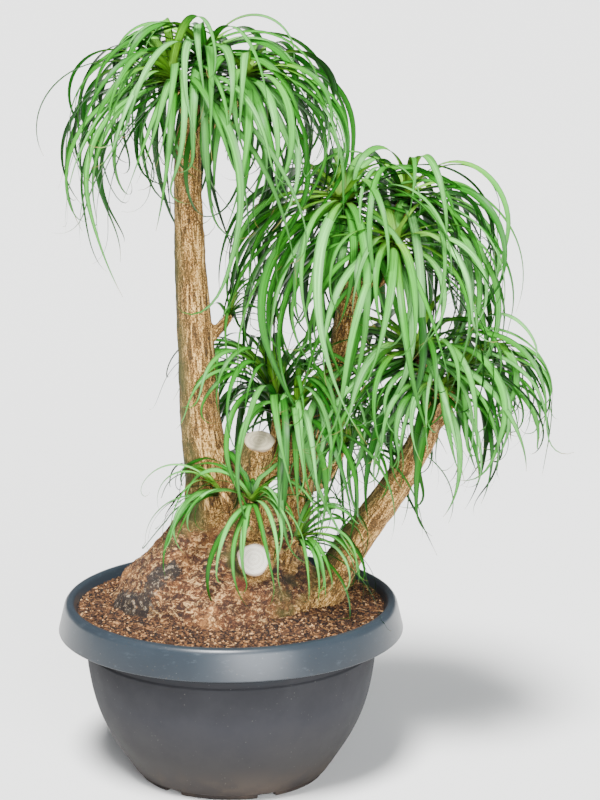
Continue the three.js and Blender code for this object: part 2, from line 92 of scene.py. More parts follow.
# Sets a node's inputs, in order or by name. A node among the values stands for its first output.
def setInputs(made, inputs):
    for key, value in inputs.items() if isinstance(inputs, dict) else enumerate(inputs):
        if isinstance(value, bpy.types.Node):
            value = value.outputs[0]
        if isinstance(value, bpy.types.NodeSocket):
            made.id_data.links.new(value, made.inputs[key])
        else:
            made.inputs[key].default_value = value


# A node with its inputs and settings, and a colour ramp's stops as (position, hex)
def addNode(tree, kind, inputs=(), stops=(), **settings):
    made = tree.nodes.new(kind)
    for name, value in settings.items():
        setattr(made, name, value)
    setInputs(made, inputs)
    if stops:
        elements = made.color_ramp.elements
        while len(elements) < len(stops):
            elements.new(0.5)
        for element, (position, code) in zip(elements, stops):
            element.position = position
            element.color = linear(code)
    return made


# Settings of a Map Range node that eases from one value to the other
eased = {"interpolation_type": "SMOOTHSTEP"}


# A Geometry Nodes tree with named inputs, its way to add a node, and its input sockets
def geometryTree(name, sockets):
    tree = bpy.data.node_groups.new(name, "GeometryNodeTree")
    tree.interface.new_socket("Geometry", in_out="INPUT", socket_type="NodeSocketGeometry")
    for label, value in sockets.items():
        socket = tree.interface.new_socket(label, in_out="INPUT", socket_type="NodeSocketFloat")
        socket.default_value = value
    tree.interface.new_socket("Geometry", in_out="OUTPUT", socket_type="NodeSocketGeometry")
    return tree, partial(addNode, tree), addNode(tree, "NodeGroupInput").outputs


def endTree(tree, geometry, material):
    realized = addNode(tree, "GeometryNodeRealizeInstances", {"Geometry": geometry})
    dressed = addNode(tree, "GeometryNodeSetMaterial", {"Geometry": realized, "Material": material})
    addNode(tree, "NodeGroupOutput", (dressed,))


# The plain mesh that base becomes through its modifiers and the tree. base is used up.
def bake(base, name, tree=None, settings=None):
    if tree:
        modifier = base.modifiers.new(tree.name, "NODES")
        modifier.node_group = tree
        for socket in tree.interface.items_tree:
            if socket.in_out == "INPUT" and socket.name in (settings or {}):
                modifier[socket.identifier] = settings[socket.name]
    graph = bpy.context.evaluated_depsgraph_get()
    mesh = bpy.data.meshes.new_from_object(
        base.evaluated_get(graph), preserve_all_data_layers=True, depsgraph=graph)
    mesh.name = name
    bpy.data.objects.remove(base)
    return link(bpy.data.objects.new(name, mesh))


def finishPiece(piece, slot, *nodes):
    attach(piece, "root")
    if nodes:
        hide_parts(*nodes)
    piece.data.calc_loop_triangles()
    print(f"  {piece.name}: {len(piece.data.loop_triangles)} triangles")


# A material with its way to add a node and its Principled shader
def newMaterial(name):
    material = bpy.data.materials.new(name)
    material.use_nodes = True
    tree = material.node_tree
    return material, partial(addNode, tree), tree.nodes["Principled BSDF"]


# Camera, at the photograph's place

view = {"eye": (0.120, -4.500, 1.730), "aim": (0.120, 0.0, 0.664), "lens": 121.7, "film": 36.0}


def setCamera():
    data = bpy.data.cameras.new("camera")
    data.lens = view["lens"]
    data.sensor_fit = "VERTICAL"
    data.sensor_height = view["film"]
    camera = link(bpy.data.objects.new("camera", data))
    camera.location = view["eye"]
    aim = Vector(view["aim"]) - Vector(view["eye"])
    camera.rotation_euler = aim.to_track_quat("-Z", "Y").to_euler()
    bpy.context.scene.camera = camera


setCamera()
print("camera set")


# Studio: a wide floor of pale matte paper, a glow low in front, a dim surround and a soft key from
# above the front

studio = {"floorSize": 60.0, "floorColour": "f6f6f4", "sky": "f4f7fb", "surround": 0.2, "glow": 20.0,
          "glowFrom": (0.3, -0.93, 0.2), "glowEdge": 0.88, "keyStrength": 9.5, "keySpread": 16.0,
          "keyFrom": (-0.35, -1.5, 3.0)}


def setStudio():
    half = studio["floorSize"] / 2
    floor = meshObject("floor", [(-half, -half, 0), (half, -half, 0), (half, half, 0), (-half, half, 0)],
                       faces=[(0, 1, 2, 3)], scale=1)
    paper, _, shader = newMaterial("mattePaperFloor")
    setInputs(shader, {"Base Color": linear(studio["floorColour"]), "Roughness": 0.9})
    floor.data.materials.append(paper)
    world = bpy.data.worlds.new("sky")
    bpy.context.scene.world = world
    world.use_nodes = True
    add = partial(addNode, world.node_tree)
    way = add("ShaderNodeTexCoord").outputs["Generated"]
    facing = add("ShaderNodeVectorMath", (way, Vector(studio["glowFrom"]).normalized()),
                 operation="DOT_PRODUCT").outputs["Value"]
    strength = add("ShaderNodeMapRange", (
        facing, studio["glowEdge"], 1.0, studio["surround"], studio["glow"]), **eased)
    setInputs(world.node_tree.nodes["Background"], {"Color": linear(studio["sky"]), "Strength": strength})
    sun = bpy.data.lights.new("key", "SUN")
    sun.energy = studio["keyStrength"]
    sun.angle = math.radians(studio["keySpread"])
    key = link(bpy.data.objects.new("key", sun))
    key.rotation_euler = Vector(studio["keyFrom"]).to_track_quat("Z", "Y").to_euler()


setStudio()
print("studio set")


# Wood of the plant: limbs as axis points with the radius at each, in millimetres

limbs = {
    "leftTrunk": [
        ((-22, 8, 440), 60), ((-30, 2, 500), 50), ((-34, 0, 540), 44), ((-48, 0, 616), 36),
        ((-56, 0, 730), 32), ((-65, 0, 880), 27), ((-68, 0, 1040), 23.5),
        ((-64, 0, 1120), 21), ((-58, 2, 1150), 15)],
    "middleTrunk": [
        ((70, 24, 380), 52), ((98, 30, 440), 38), ((112, 32, 490), 30), ((146, 38, 583), 25),
        ((182, 34, 704), 23), ((200, 28, 800), 21), ((216, 22, 880), 20), ((222, 20, 905), 15)],
    "rightTrunk": [
        ((96, -42, 262), 62), ((132, -24, 290), 46), ((168, -8, 330), 34), ((207, 0, 400), 30),
        ((267, 0, 487), 27), ((314, 0, 566), 24), ((338, 2, 612), 22), ((344, 4, 630), 15)],
    "sawnStump": [((22, -14, 420), 42), ((34, -40, 498), 31), ((43, -51, 560), 28), ((51, -60, 607), 28.5)],
    "sawnFlank": [((30, -40, 396), 44), ((38, -92, 408), 33), ((42, -124, 417), 29.5)],
}
sawnFaces = {"sawnStump": (0.08, -0.45, 0.89), "sawnFlank": (0.16, -0.93, 0.33)}

# How far the caudex reaches to the left, right, front and back at each height
caudexLevels = [
    (240, 180, 140, 140, 125), (278, 214, 158, 166, 140), (306, 214, 158, 163, 138),
    (338, 202, 146, 150, 130), (372, 174, 128, 128, 116), (402, 142, 116, 106, 102),
    (432, 110, 108, 84, 86), (464, 86, 98, 62, 68), (496, 72, 66, 46, 50), (530, 62, 22, 34, 36)]
caudexCores = [
    [((-110, -10, 270), 112), ((-34, -4, 460), 62)],
    [((0, -24, 270), 145), ((24, -8, 420), 92)],
]

# Leaf heads. tip: the point that the leaves spread from. lean: which way the head leans.
# fork: where its branch leaves the wood. low, high: rise of the oldest and youngest leaves.
# hang: how far below level their ends point. leaves: how many have grown.
# gone: which of them have died or been cut off.
heads = [
    {"name": "left_head_front", "seed": 11, "tip": (-98, -30, 1232), "lean": (-0.5, -0.3),
     "fork": (-62, 0, 1130), "length": 466, "width": 16.3, "low": -17, "high": 58, "hang": 124, "leaves": 145,
     "gone": (0, 2, 3, 4, 5, 6, 8, 11, 14, 20, 22, 23, 24, 25, 26, 27, 28, 30, 32, 33, 34, 35, 39,
              40, 41, 42, 47, 49, 50, 51, 56, 58, 60, 61, 64, 65, 66, 67, 69, 72, 77, 78, 79, 80, 81, 86, 87,
              89, 93, 94, 95, 97, 98, 99, 100, 101, 102, 103, 104, 105, 107, 108, 110, 111, 112, 114, 116,
              118, 120, 121, 122, 123, 124, 127, 129, 131, 133, 143)},
    {"name": "left_head_back", "seed": 412, "tip": (-42, 44, 1261), "lean": (-0.1, 0.4),
     "fork": (-58, 4, 1135), "length": 433, "width": 18.5, "low": -16, "high": 56, "hang": 137, "leaves": 115,
     "gone": (0, 1, 3, 5, 6, 7, 8, 15, 16, 17, 19, 26, 29, 33, 35, 36, 37, 38, 40, 43, 44, 46, 49,
              53, 59, 60, 62, 65, 66, 67, 69, 70, 72, 73, 74, 75, 76, 77, 78, 79, 80, 81, 82, 83, 85, 86, 87,
              89, 90, 91, 94, 95, 96, 98, 99, 101, 102, 104, 106, 109, 111)},
    {"name": "left_head_right", "seed": 13, "tip": (36, -14, 1239), "lean": (0.35, -0.25),
     "fork": (-54, -2, 1140), "length": 397, "width": 17.6, "low": -6, "high": 52, "hang": 137, "leaves": 126,
     "gone": (2, 3, 6, 9, 13, 17, 19, 22, 24, 26, 27, 30, 32, 33, 34, 35, 37, 40, 42, 43, 46, 49,
              51, 53, 57, 59, 61, 62, 66, 67, 70, 71, 73, 74, 80, 81, 82, 83, 86, 87, 88, 89, 90, 91, 93, 94,
              95, 96, 100, 101, 103, 104, 105, 108, 111, 113, 115, 116, 119, 121, 124)},
    {"name": "middle_head_left", "seed": 21, "tip": (186, 4, 1025), "lean": (-0.5, -0.3),
     "fork": (214, 20, 880), "length": 480, "width": 19.3, "low": -17, "high": 44, "hang": 124, "leaves": 127,
     "gone": (0, 1, 2, 4, 5, 7, 8, 9, 11, 12, 17, 18, 21, 30, 31, 33, 36, 37, 38, 40, 41, 43, 44,
              45, 50, 52, 56, 57, 61, 62, 67, 68, 70, 72, 73, 77, 80, 81, 83, 85, 86, 87, 89, 90, 91, 93, 94,
              99, 101, 102, 103, 104, 105, 106, 108, 111, 112, 116, 118, 119, 123, 125)},
    {"name": "middle_head_front", "seed": 722, "tip": (278, -66, 963), "lean": (0.1, -0.5),
     "fork": (226, 12, 870), "length": 430, "width": 18, "low": -14, "high": 44, "hang": 124, "leaves": 118,
     "gone": (1, 3, 5, 6, 7, 8, 9, 11, 13, 15, 17, 19, 20, 22, 23, 25, 27, 31, 32, 35, 36, 37, 39,
              40, 43, 44, 46, 47, 48, 52, 53, 54, 55, 56, 57, 58, 65, 66, 67, 72, 76, 77, 79, 81, 82, 83, 85,
              86, 87, 88, 90, 92, 93, 95, 97, 100, 101, 102, 105, 109, 111, 112, 113, 115, 116)},
    {"name": "middle_head_right", "seed": 23, "tip": (306, 60, 1024), "lean": (0.4, 0.3),
     "fork": (224, 26, 884), "length": 470, "width": 15.5, "low": -10, "high": 54, "hang": 146, "leaves": 127,
     "gone": (0, 1, 2, 3, 5, 9, 15, 16, 18, 20, 22, 25, 28, 29, 34, 35, 36, 40, 42, 44, 48, 50, 51,
              55, 63, 64, 65, 67, 68, 69, 70, 71, 73, 74, 77, 78, 79, 81, 83, 84, 85, 87, 88, 89, 93, 94, 96,
              97, 98, 99, 101, 102, 104, 105, 106, 107, 108, 109, 110, 112, 113, 114, 115, 116, 117, 118,
              119, 120, 122, 125)},
    {"name": "right_head_front", "seed": 331, "tip": (312, -40, 772), "lean": (-0.35, -0.4),
     "fork": (334, 0, 606), "length": 446, "width": 17.6, "low": -14, "high": 52, "hang": 114, "leaves": 109,
     "gone": (0, 1, 3, 8, 10, 12, 15, 16, 17, 19, 22, 23, 25, 27, 29, 30, 35, 36, 37, 38, 40, 42,
              43, 45, 46, 47, 48, 49, 50, 51, 53, 55, 59, 61, 62, 63, 67, 68, 70, 71, 72, 74, 76, 84, 85, 87,
              89, 90, 91, 93, 94, 95, 97, 98, 99, 100, 101, 104, 105)},
    {"name": "right_head_low", "seed": 32, "tip": (364, -62, 715), "lean": (0.3, -0.6),
     "fork": (340, -4, 606), "length": 304, "width": 15.1, "low": -4, "high": 38, "hang": 116, "leaves": 64,
     "gone": (0, 5, 7, 11, 12, 16, 19, 20, 21, 23, 25, 27, 28, 29, 32, 33, 35, 37, 40, 43, 44, 45,
              46, 48, 49, 53, 57, 58, 59, 60, 61, 62)},
    {"name": "right_head_back", "seed": 2133, "tip": (406, 52, 724), "lean": (0.4, 0.3),
     "fork": (342, 6, 614), "length": 388, "width": 15.7, "low": -10, "high": 62, "hang": 132, "leaves": 105,
     "gone": (0, 4, 6, 10, 12, 15, 16, 18, 19, 20, 21, 23, 24, 26, 27, 28, 31, 33, 34, 35, 39, 42,
              43, 44, 50, 55, 56, 57, 60, 61, 62, 66, 68, 69, 71, 72, 73, 76, 77, 78, 79, 80, 82, 83, 84, 85,
              86, 87, 89, 91, 92, 93, 97, 98, 99, 100, 101)},
    {"name": "shoot_behind_stump", "seed": 41, "tip": (73, 16, 677), "lean": (-0.2, 0),
     "fork": (48, -10, 520), "length": 432, "width": 15.2, "low": 27, "high": 88, "hang": 121, "leaves": 109,
     "gone": (0, 1, 3, 4, 6, 7, 8, 10, 12, 14, 16, 18, 22, 24, 26, 29, 30, 33, 36, 37, 40, 41, 44,
              47, 53, 55, 60, 64, 67, 68, 70, 71, 72, 73, 74, 75, 76, 77, 79, 80, 81, 82, 83, 84, 85, 87, 88,
              89, 90, 92, 94, 95, 96, 97, 98, 99, 102, 105, 106)},
    {"name": "shoot_centre", "seed": 42, "tip": (118, -28, 660), "lean": (0.15, -0.1),
     "fork": (116, 26, 520), "length": 345, "width": 15.6, "low": 21, "high": 76, "hang": 122, "leaves": 85,
     "gone": (4, 9, 10, 11, 12, 13, 14, 18, 21, 23, 26, 27, 30, 31, 33, 36, 39, 40, 41, 42, 43, 44,
              47, 51, 52, 53, 55, 56, 58, 59, 61, 62, 65, 66, 67, 68, 71, 72, 73, 74, 75, 78, 79, 80, 81, 82,
              83)},
    {"name": "shoot_front", "seed": 151, "tip": (38, -112, 526), "lean": (-0.1, -0.6),
     "fork": (32, -62, 440), "length": 268, "width": 11.6, "low": 8, "high": 66, "hang": 122, "leaves": 34,
     "gone": (1, 4, 9, 12, 17, 25)},
    {"name": "shoot_right", "seed": 452, "tip": (122, -106, 458), "lean": (0.55, -0.4),
     "fork": (104, -50, 380), "length": 262, "width": 10.4, "low": 12, "high": 66, "hang": 110, "leaves": 40,
     "gone": (4, 7, 12, 15, 17, 20, 23, 25, 28, 30, 33, 36, 38)},
    {"name": "shoot_left", "seed": 153, "tip": (-22, -76, 533), "lean": (-0.6, -0.35),
     "fork": (-14, -30, 470), "length": 262, "width": 9.6, "low": 16, "high": 70, "hang": 108, "leaves": 30,
     "gone": (2, 4, 7, 9, 10, 12, 15, 17, 20, 22, 23, 25, 28)},
    {"name": "trunk_sprig", "seed": 1854, "tip": (7, 2, 828), "lean": (0.5, 0),
     "fork": (-52, 0, 770), "length": 152, "width": 9.3, "low": 16, "high": 79, "hang": 40, "leaves": 22,
     "gone": (4, 7, 14, 18)},
    {"name": "shoot_behind_right", "seed": 155, "tip": (196, 96, 568), "lean": (0.3, 0.3),
     "fork": (138, 44, 500), "length": 350, "width": 11.8, "low": 8, "high": 74, "hang": 105, "leaves": 73,
     "gone": (2, 3, 5, 8, 10, 11, 16, 18, 19, 20, 21, 26, 30, 35, 36, 37, 41, 46, 47, 48, 49, 50,
              51, 54, 55, 56, 57, 58, 60, 61, 62, 63, 64, 65, 66, 67, 68, 69, 70, 71)},
]
crownCore = {"length": 56, "radius": 19, "branch": 12.5}
shootCore = {"length": 30, "radius": 13, "branch": 8.5}
shootWidth = 12
branches = {"footPull": 0.45, "middleAt": 0.6, "inBud": 0.5, "forkFlare": 4, "middleFlare": 2,
            "topShare": 0.8}


def coreOf(head):
    return shootCore if head["width"] < shootWidth else crownCore


def headAxis(head):
    return unit(np.array([*head["lean"], 1.0]))


# Branch from its fork into the foot of the head's bud
def branchStations(head):
    core = coreOf(head)
    axis = headAxis(head)
    foot = np.array(head["tip"], float) - axis * core["length"]
    fork = np.array(head["fork"], float)
    bend = foot - axis * branches["footPull"] * np.linalg.norm(foot - fork)
    middle = mix(fork, bend, branches["middleAt"])
    top = foot + axis * branches["inBud"] * core["length"]
    radius = core["branch"]
    return [(fork, radius + branches["forkFlare"]), (middle, radius + branches["middleFlare"]),
            (foot, radius), (top, branches["topShare"] * radius)]


# Strap leaves. The rule is the one that the solids follow, so every modelled blade is one of these leaves.

growth = {
    "pathSteps": 32, "goldenAngle": 2.39996323, "tierStep": 0.7548776662, "tierStart": 0.13,
    "azimuthJitter": 0.5, "riseJitter": 16, "youngShortening": 0.25, "shortestShare": 0.66,
    "oldestRoot": 0.72, "youngestRoot": 0.12, "oldestSpread": 0.5, "youngestSpread": 0.15,
    "hangSpread": 0.22, "sidewaysSway": 3.4, "bladeTwist": 2.4, "leastBreadth": 0.62,
    "bendFirst": 0.45, "bendFull": 1.13, "bendFullAt": 0.4, "straightFrom": 0.9, "straightAt": 1.1,
    "straightLoss": 0.9,
    "curlShare": 0.6, "curlLeast": 6, "curlMost": 16, "curlFrom": 0.7, "curlFullAt": 0.95,
    "longShare": 0.16, "longStretch": 1.55, "longEase": 0.84,
    "taperRoot": 0.4, "taperFull": 0.12, "taperFrom": 0.35, "taperLoss": 0.88,
    "boundSteps": 3, "woodClearance": 5, "potMouth": 312, "potTop": 317}
strap = {
    "ringSides": 6, "claspWidth": 1.5, "claspEnd": 0.07, "tipFineness": 0.65, "tipFrom": 0.9,
    # Channel and thickness are shares of the leaf's width
    "form": {"Channel Depth": 0.07, "Thickness": 0.045, "Crease Angle": math.radians(32)}}


def randomSource(seed):
    state = seed & 0xFFFFFFFF

    def draw():
        nonlocal state
        state = (state + 0x6D2B79F5) & 0xFFFFFFFF
        t = ((state ^ (state >> 15)) * (state | 1)) & 0xFFFFFFFF
        t ^= (t + (((t ^ (t >> 7)) * (t | 61)) & 0xFFFFFFFF)) & 0xFFFFFFFF
        return ((t ^ (t >> 14)) & 0xFFFFFFFF) / 4294967296

    return draw


def capsulesOf(stations):
    return [(np.array(a, float), np.array(b, float), ra, rb)
            for (a, ra), (b, rb) in zip(stations, stations[1:])]


obstacles = [capsule for stations in [*limbs.values(), *caudexCores] for capsule in capsulesOf(stations)]


# Pushes points out of the wood, and up off the pot's mouth
def slideClear(points):
    for a, b, ra, rb in obstacles:
        span = b - a
        t = np.clip((points - a) @ span / (span @ span), 0, 1)[:, None]
        nearest = a + span * t
        reach = mix(ra, rb, t) + growth["woodClearance"]
        away = points - nearest
        distance = np.linalg.norm(away, axis=1, keepdims=True)
        points = np.where(distance < reach, nearest + away / distance * reach, points)
    low = (np.hypot(points[:, 0], points[:, 1]) < growth["potMouth"]) & (points[:, 2] < growth["potTop"])
    points[low, 2] = growth["potTop"]
    return points


# The numbers that make one leaf differ from the next
def drawLeaf(head, index):
    g = growth
    draw = randomSource(head["seed"] * 1000 + index)
    tier = (index * g["tierStep"] + g["tierStart"]) % 1
    azimuth = index * g["goldenAngle"] + head["seed"] + g["azimuthJitter"] * (draw() - 0.5)
    rise = math.radians(mix(head["low"], head["high"], tier) + g["riseJitter"] * (draw() - 0.5))
    isLong = draw() < g["longShare"] and head["width"] > shootWidth
    stretch = g["longStretch"] if isLong else 1
    ease = g["longEase"] if isLong else 1
    share = (1 - g["youngShortening"] * tier * tier) * mix(g["shortestShare"], 1, draw())
    length = head["length"] * share * stretch * ease
    hang = math.radians(head["hang"] * mix(1 - g["hangSpread"], 1 + g["hangSpread"], draw()) * ease)
    sway = g["sidewaysSway"] * (draw() - 0.5)
    twist = g["bladeTwist"] * (draw() - 0.5)
    curl = mix(g["curlLeast"], g["curlMost"], draw()) if draw() < g["curlShare"] else 0
    curlTurn = 2 * math.pi * draw()
    breadth = head["width"] * mix(g["leastBreadth"], 1, draw())
    return tier, azimuth, rise, stretch, length, hang, sway, twist, curl, curlTurn, breadth, draw()


# Midribs of all the head's leaves: points, upper directions and widths, [leaf, step]
def growLeaves(head):
    g = growth
    steps = g["pathSteps"]
    kept = [index for index in range(head["leaves"]) if index not in head["gone"]]
    drawn = np.array([drawLeaf(head, index) for index in kept])
    tier, azimuth, rise, stretch, length, hang, sway, twist, curl, curlTurn, breadth, tint = drawn.T
    axis = headAxis(head)
    core = coreOf(head)
    radial = np.stack([np.cos(azimuth), np.sin(azimuth), 0 * azimuth], 1)
    radial = unit(radial - (radial @ axis)[:, None] * axis)
    heading = radial * np.cos(rise)[:, None] + axis * np.sin(rise)[:, None]
    depth = core["length"] * mix(g["oldestRoot"], g["youngestRoot"], tier)
    spread = core["radius"] * mix(g["oldestSpread"], g["youngestSpread"], tier)
    point = np.array(head["tip"], float) - axis * depth[:, None] + radial * spread[:, None]
    across = unit(np.cross(heading, [0, 0, 1.0]))
    turn = (np.arcsin(heading[:, 2]) + hang) * stretch / steps
    points, uppers, widths = [], [], []
    for k in range(steps + 1):
        s = k / steps
        across = unit(across - heading * (across * heading).sum(1, keepdims=True))
        upper = np.cross(across, heading)
        roll = (twist * s)[:, None]
        fullness = mix(g["taperRoot"], 1, ramp(0, g["taperFull"], s))
        fullness *= 1 - g["taperLoss"] * ramp(g["taperFrom"], 1, s)
        points.append(point)
        uppers.append(upper * np.cos(roll) - across * np.sin(roll))
        widths.append(breadth * fullness)
        loss = g["straightLoss"] * ramp(g["straightFrom"], g["straightAt"], s * stretch)
        bend = turn * mix(g["bendFirst"], g["bendFull"], ramp(0, g["bendFullAt"], s * stretch))
        bend = bend * np.where(stretch > 1, 1 - loss, 1)
        curlNow = curl * ramp(g["curlFrom"], g["curlFullAt"], s) / steps
        heading = heading + upper * (curlNow * np.sin(curlTurn) - bend)[:, None]
        heading = heading + across * (curlNow * np.cos(curlTurn) + sway * s / steps)[:, None]
        heading = unit(heading)
        point = point + heading * (length / steps)[:, None]
        if k > g["boundSteps"]:
            point = slideClear(point)
    return np.stack(points, 1), np.stack(uppers, 1), np.stack(widths, 1), tier, tint


# Living strap leaf, as it grows: a waxy blue-green upper face over a deep green underside, with
# lengthwise veins, drawn a tenth of the leaf apart so that they show. Painted shade darkens the
# underside, old leaf bases, older leaves, hanging ends and margins; a painted highlight lifts the midrib.
def strapLeafMaterial():
    material, add, shader = newMaterial("livingStrapLeaf")
    along, tint, youth, under, side = [
        add("ShaderNodeAttribute", attribute_name=name).outputs["Fac"]
        for name in ("along", "tint", "youth", "under", "side")]
    lengthwise = add("ShaderNodeCombineXYZ", [
        add("ShaderNodeMath", (value, scale), operation="MULTIPLY")
        for value, scale in ((side, 5.0), (tint, 40.0), (along, 1.6))])
    veins = add("ShaderNodeTexNoise", {"Vector": lengthwise, "Scale": 2.4, "Detail": 4.0})
    upperColour = add("ShaderNodeValToRGB", (tint,), stops=[
        (0, "216814"), (0.25, "34801f"), (0.5, "479833"), (0.75, "58a547"), (1, "6ab35c")])
    # The underside is the leaf's own deeper green with painted shade on top, much darker than the upper face
    underColourAndPaintedShade = add("ShaderNodeValToRGB", (tint,), stops=[(0, "0b3405"), (0.5, "18560e"), (1, "2c741c")])
    fresh = add("ShaderNodeMath", (
        add("ShaderNodeMapRange", (youth, 0.6, 0.98, 0.0, 0.85), **eased),
        add("ShaderNodeMapRange", (along, 0.1, 0.45, 1.0, 0.0), **eased)), operation="MULTIPLY")
    veinsWithPaintedShadeAndHighlight = add("ShaderNodeMapRange", (veins, 0.32, 0.68, 0.62, 1.3), **eased)
    fromRib = add("ShaderNodeMath", (side,), operation="ABSOLUTE")
    # Then darkened on older leaves (their duller green and painted shade deep in the crowns), towards the
    # hanging ends (painted shade) and at the margins (painted shade in the channel), and lightened over the
    # first third and along the midrib (painted highlight)
    for value, *span in ((youth, 0.0, 0.4, 0.5, 1.0), (along, 0.3, 0.95, 1.1, 0.6),
                         (fromRib, 0.22, 0.46, 1.12, 0.46)):
        factor = add("ShaderNodeMapRange", (value, *span), **eased)
        veinsWithPaintedShadeAndHighlight = add("ShaderNodeMath", (veinsWithPaintedShadeAndHighlight, factor), operation="MULTIPLY")
    shade = add("ShaderNodeCombineColor", (veinsWithPaintedShadeAndHighlight, veinsWithPaintedShadeAndHighlight, veinsWithPaintedShadeAndHighlight))
    # Leaf bases: old ones near-black olive, partly their dry sheaths and partly painted shade in the heart of
    # the crown; young ones pale green
    young = add("ShaderNodeMapRange", (youth, 0.45, 0.8), **eased)
    sheathAndPaintedShade = add("ShaderNodeMix", {0: young, 6: linear("1d2a0c"), 7: linear("6f9a34")}, data_type="RGBA")
    worn = add("ShaderNodeMath", (tint, 0.05, along), operation="MULTIPLY_ADD")
    green = upperColour
    for cover, over, blend in (
            (add("ShaderNodeMapRange", (under, 0.01, 0.1), **eased), underColourAndPaintedShade, "MIX"),
            (fresh, linear("7cb82e"), "MIX"), (1.0, shade, "MULTIPLY"),
            (add("ShaderNodeMapRange", (along, 0.02, 0.13, 0.85, 0.0), **eased), sheathAndPaintedShade.outputs[2], "MIX"),
            (add("ShaderNodeMapRange", (worn, 0.95, 1.0, 0.0, 0.8), **eased), linear("7d6a38"), "MIX")):
        green = add("ShaderNodeMix", {
            0: cover, 6: green, 7: over}, data_type="RGBA", blend_type=blend).outputs[2]
    bump = add("ShaderNodeBump", {"Height": veins, "Strength": 0.35, "Distance": 0.0008})
    setInputs(shader, {
        "Base Color": green, "Normal": bump, "Roughness": 0.42, "IOR": 1.45, "Specular IOR Level": 0.25})
    return material


# Sweeps a channelled strap along every leaf path, as wide as the path says
def strapLeafTree(material):
    tree, add, inputs = geometryTree("strapLeaves", strap["form"])
    ring = add("GeometryNodeCurvePrimitiveCircle", {"Resolution": strap["ringSides"], "Radius": 0.5})
    place = add("ShaderNodeSeparateXYZ", (add("GeometryNodeInputPosition"),)).outputs
    below = add("ShaderNodeMath", (place[1], -0.01), operation="LESS_THAN")
    for name, value in (("under", below), ("side", place[0])):
        ring = add("GeometryNodeStoreNamedAttribute", {"Geometry": ring, "Name": name, "Value": value})
    # A parabola bends the ring into a channel: 0 at its edges, and 3/4 at its four inner points, which
    # are brought to the full depth
    squared = add("ShaderNodeMath", (place[0], place[0]), operation="MULTIPLY")
    bulge = add("ShaderNodeMath", (squared, -4.0, 1.0), operation="MULTIPLY_ADD")
    depth = add("ShaderNodeMath", (inputs["Thickness"], below, inputs["Channel Depth"]),
                operation="MULTIPLY_ADD")
    sunk = add("ShaderNodeMath", (depth, bulge), operation="MULTIPLY")
    sunk = add("ShaderNodeMath", (sunk, -4 / 3), operation="MULTIPLY")
    across = add("ShaderNodeMath", (place[0], -1.0), operation="MULTIPLY")
    flat = add("ShaderNodeCombineXYZ", (sunk, across))
    profile = add("GeometryNodeSetPosition", {"Geometry": ring, "Position": flat})
    upper = add("GeometryNodeInputNamedAttribute", {"Name": "upper"}, data_type="FLOAT_VECTOR")
    width = add("GeometryNodeInputNamedAttribute", {"Name": "width"}, data_type="FLOAT")
    paths = add("GeometryNodeMeshToCurve", {"Mesh": inputs["Geometry"]})
    paths = add("GeometryNodeSetCurveNormal", {"Curve": paths, "Normal": upper}, mode="FREE")
    straps = add("GeometryNodeCurveToMesh", {
        "Curve": paths, "Profile Curve": profile, "Scale": width, "Fill Caps": True})
    angle = add("GeometryNodeInputMeshEdgeAngle").outputs["Unsigned Angle"]
    sharp = add("ShaderNodeMath", (angle, inputs["Crease Angle"]), operation="GREATER_THAN")
    straps = add("GeometryNodeSetShadeSmooth", {
        "Geometry": straps, "Selection": sharp, "Shade Smooth": False}, domain="EDGE")
    endTree(tree, straps, material)
    return tree


def makeLeaves():
    material = strapLeafMaterial()
    tree = strapLeafTree(material)
    for head in heads:
        points, uppers, widths, tier, tint = growLeaves(head)
        count, stations = points.shape[:2]
        s = np.linspace(0, 1, stations)
        clasp = 1 + (strap["claspWidth"] / growth["taperRoot"] - 1) * (1 - ramp(0, strap["claspEnd"], s))
        fine = 1 - strap["tipFineness"] * ramp(strap["tipFrom"], 1, s)
        widths = widths * clasp * fine
        first = np.arange(count)[:, None] * stations + np.arange(stations - 1)
        edges = np.stack([first.ravel(), first.ravel() + 1], 1).tolist()
        base = meshObject(head["name"] + "_paths", points.reshape(-1, 3), edges=edges)
        storeValues(base.data, "width", widths * mm)
        storeValues(base.data, "upper", uppers, "FLOAT_VECTOR")
        storeValues(base.data, "along", np.tile(s, (count, 1)))
        storeValues(base.data, "tint", np.repeat(tint, stations))
        storeValues(base.data, "youth", np.repeat(tier, stations))
        leaves = bake(base, head["name"] + "_leaves", tree, strap["form"])
        finishPiece(leaves, "leaf", head["name"])


print("growing leaves")
makeLeaves()


# Caudex, trunks and branches: smooth lofts joined in one skin, then given their bark

